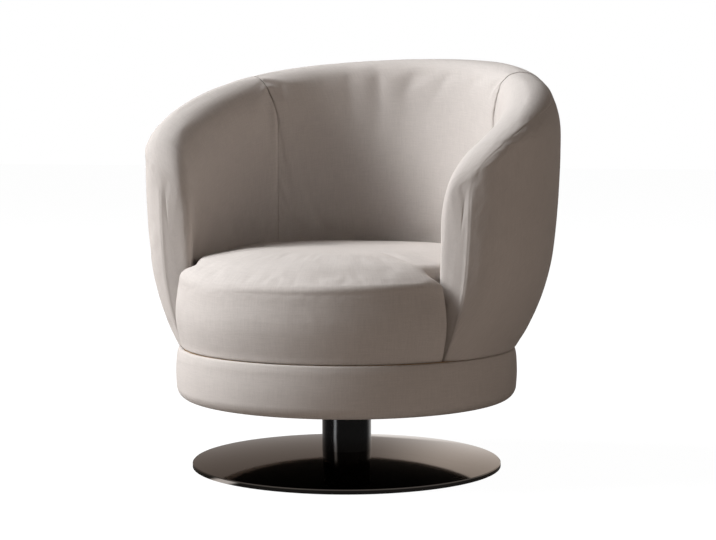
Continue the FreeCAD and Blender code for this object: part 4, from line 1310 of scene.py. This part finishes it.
class BuildStage(bpy.types.Operator):
    """Sets up the floor, the lights and the camera"""

    bl_idname = "lounge_chair.build_stage"
    bl_label = "Build stage"

    def execute(self, context):
        settings = context.scene.chair_stage
        scene = context.scene
        scene.view_settings.view_transform = "Standard"
        floor_mesh = bpy.data.meshes.new("floor")
        half = 30.0
        floor_mesh.from_pydata([(-half, -half, 0.0), (half, -half, 0.0), (half, half, 0.0), (-half, half, 0.0)], [],
                               [(0, 1, 2, 3)])
        floor_mesh.materials.append(self.floor_material(settings))
        floor = bpy.data.objects.new("floor", floor_mesh)
        scene.collection.objects.link(floor)
        self.add_world(scene, settings)
        self.add_camera(scene, settings)
        self.add_lights(scene, settings)
        return {"FINISHED"}

    def floor_material(self, settings):
        """White to the camera, a plain pale floor to the light, and, to glossy rays, a glowing part of the painted
        studio reflections.
        """
        material = bpy.data.materials.new("pale_floor")
        material.use_nodes = True
        tree = material.node_tree
        tree.nodes.clear()
        path = add_node(tree, "ShaderNodeLightPath").outputs
        plain = add_node(tree, "ShaderNodeBsdfDiffuse", {"Color": (0.29, 0.25, 0.222, 1.0)})
        glow = add_node(tree, "ShaderNodeEmission", {"Color": (1.0, 1.0, 1.0, 1.0), "Strength": 0.985})
        shade = add_node(tree, "ShaderNodeBsdfDiffuse", {"Color": (0.10, 0.10, 0.10, 1.0)})
        white = add_node(tree, "ShaderNodeAddShader", {0: glow.outputs[0], 1: shade.outputs[0]})
        around = place_group(tree, shared("Painted studio reflections", painted_reflections_group),
                             {"Vector": object_place(tree), "Azimuth": settings.azimuth})
        mirrored = add_node(tree, "ShaderNodeEmission", {"Color": around.outputs["Colour"], "Strength": 1.0})
        lit = add_node(tree, "ShaderNodeMixShader", {0: path["Is Camera Ray"], 1: plain.outputs[0],
                                                     2: white.outputs[0]})
        both = add_node(tree, "ShaderNodeMixShader", {0: path["Is Glossy Ray"], 1: lit.outputs[0],
                                                      2: mirrored.outputs[0]})
        add_node(tree, "ShaderNodeOutputMaterial", {"Surface": both.outputs[0]})
        return material

    def add_world(self, scene, settings):
        world = bpy.data.worlds.new("soft_studio")
        world.use_nodes = True
        scene.world = world
        tree = world.node_tree
        tree.nodes.clear()
        path = add_node(tree, "ShaderNodeLightPath").outputs
        air = add_node(tree, "ShaderNodeBackground", {"Color": (1.0, 0.88, 0.80, 1.0),
                                                      "Strength": settings.air_strength})
        white = add_node(tree, "ShaderNodeBackground", {"Color": (1.0, 1.0, 1.0, 1.0), "Strength": 1.0})
        # Glossy rays see the painted studio reflections, other rays the air, and the camera plain white.
        way = add_node(tree, "ShaderNodeTexCoord").outputs["Generated"]
        around = place_group(tree, shared("Painted studio reflections", painted_reflections_group),
                             {"Vector": way, "Azimuth": settings.azimuth})
        mirrored = add_node(tree, "ShaderNodeBackground", {"Color": around.outputs["Colour"], "Strength": 1.0})
        lit = add_node(tree, "ShaderNodeMixShader", {0: path["Is Camera Ray"], 1: air.outputs[0],
                                                     2: white.outputs[0]})
        both = add_node(tree, "ShaderNodeMixShader", {0: path["Is Glossy Ray"], 1: lit.outputs[0],
                                                      2: mirrored.outputs[0]})
        add_node(tree, "ShaderNodeOutputWorld", {"Surface": both.outputs[0]})

    def add_camera(self, scene, settings):
        data = bpy.data.cameras.new("camera")
        camera = bpy.data.objects.new("camera", data)
        scene.collection.objects.link(camera)
        data.lens = settings.focal_width * data.sensor_width
        turned = settings.azimuth - settings.yaw
        camera.location = (settings.distance * math.sin(settings.azimuth),
                           -settings.distance * math.cos(settings.azimuth), settings.height)
        camera.rotation_euler = (math.pi / 2.0 - settings.pitch, 0.0, turned)
        scene.camera = camera

    def add_lights(self, scene, settings):
        across = Vector((math.cos(settings.azimuth), math.sin(settings.azimuth), 0.0))
        towards = Vector((math.sin(settings.azimuth), -math.cos(settings.azimuth), 0.0))
        middle = Vector((0.0, 0.0, 0.45))
        for name, azimuth, height, power, tint in (
                ("key_light_high", -102.0, 48.0, settings.key_power, (0.945, 0.97, 1.0)),
                ("key_light_low", -83.0, 28.0, settings.key_power, (0.945, 0.97, 1.0)),
                ("fill_light", 50.0, 8.0, settings.fill_power, (1.0, 0.86, 0.76))):
            turned = math.radians(azimuth)
            raised = math.radians(height)
            way = (across * math.sin(turned) + towards * math.cos(turned)) * math.cos(raised) + UP * math.sin(raised)
            light = self.add_light(scene, name, middle + way * 6.5, middle, 2.6, power)
            light.data.color = tint

    def add_light(self, scene, name, place, target, size, power):
        data = bpy.data.lights.new(name, "AREA")
        data.shape = "SQUARE"
        data.size = size
        data.energy = power
        light = bpy.data.objects.new(name, data)
        scene.collection.objects.link(light)
        light.location = place
        light.rotation_euler = (target - place).to_track_quat("-Z", "Y").to_euler()
        light.visible_glossy = False
        return light


class LoungeChairPanel(bpy.types.Panel):
    """Lists the chair's steps and sizes"""

    bl_idname = "VIEW3D_PT_lounge_chair"
    bl_label = "Lounge chair"
    bl_space_type = "VIEW_3D"
    bl_region_type = "UI"
    bl_category = "Lounge chair"

    def draw(self, context):
        layout = self.layout
        for step in STEPS:
            layout.operator(step.bl_idname)
        for word, group in GROUPS.items():
            box = layout.box()
            for name in group.__annotations__:
                box.prop(getattr(context.scene, word), name)


STEPS = (BuildStage, UpholsterBack, UpholsterArms, UpholsterSeat, UpholsterPlinth, FinishBase, FinishBearing,
         FinishFrame)
GROUPS = {"chair_tub": TubSizes, "chair_seat": SeatSizes, "chair_plinth": PlinthSizes, "chair_finishes": Finishes,
          "chair_stage": StageSettings}
CLASSES = tuple(GROUPS.values()) + STEPS + (LoungeChairPanel,)


def register():
    for made in CLASSES:
        bpy.utils.register_class(made)
    for word, group in GROUPS.items():
        setattr(bpy.types.Scene, word, bpy.props.PointerProperty(type=group))


def unregister():
    for word in GROUPS:
        delattr(bpy.types.Scene, word)
    for made in reversed(CLASSES):
        bpy.utils.unregister_class(made)


def main():
    register()
    bpy.ops.lounge_chair.build_stage()
    bpy.ops.lounge_chair.upholster_back()
    bpy.ops.lounge_chair.upholster_arms()
    bpy.ops.lounge_chair.upholster_seat()
    bpy.ops.lounge_chair.upholster_plinth()
    bpy.ops.lounge_chair.finish_base()
    bpy.ops.lounge_chair.finish_bearing()
    bpy.ops.lounge_chair.finish_frame()
    bpy.context.view_layer.update()


if __name__ == "__main__":
    main()
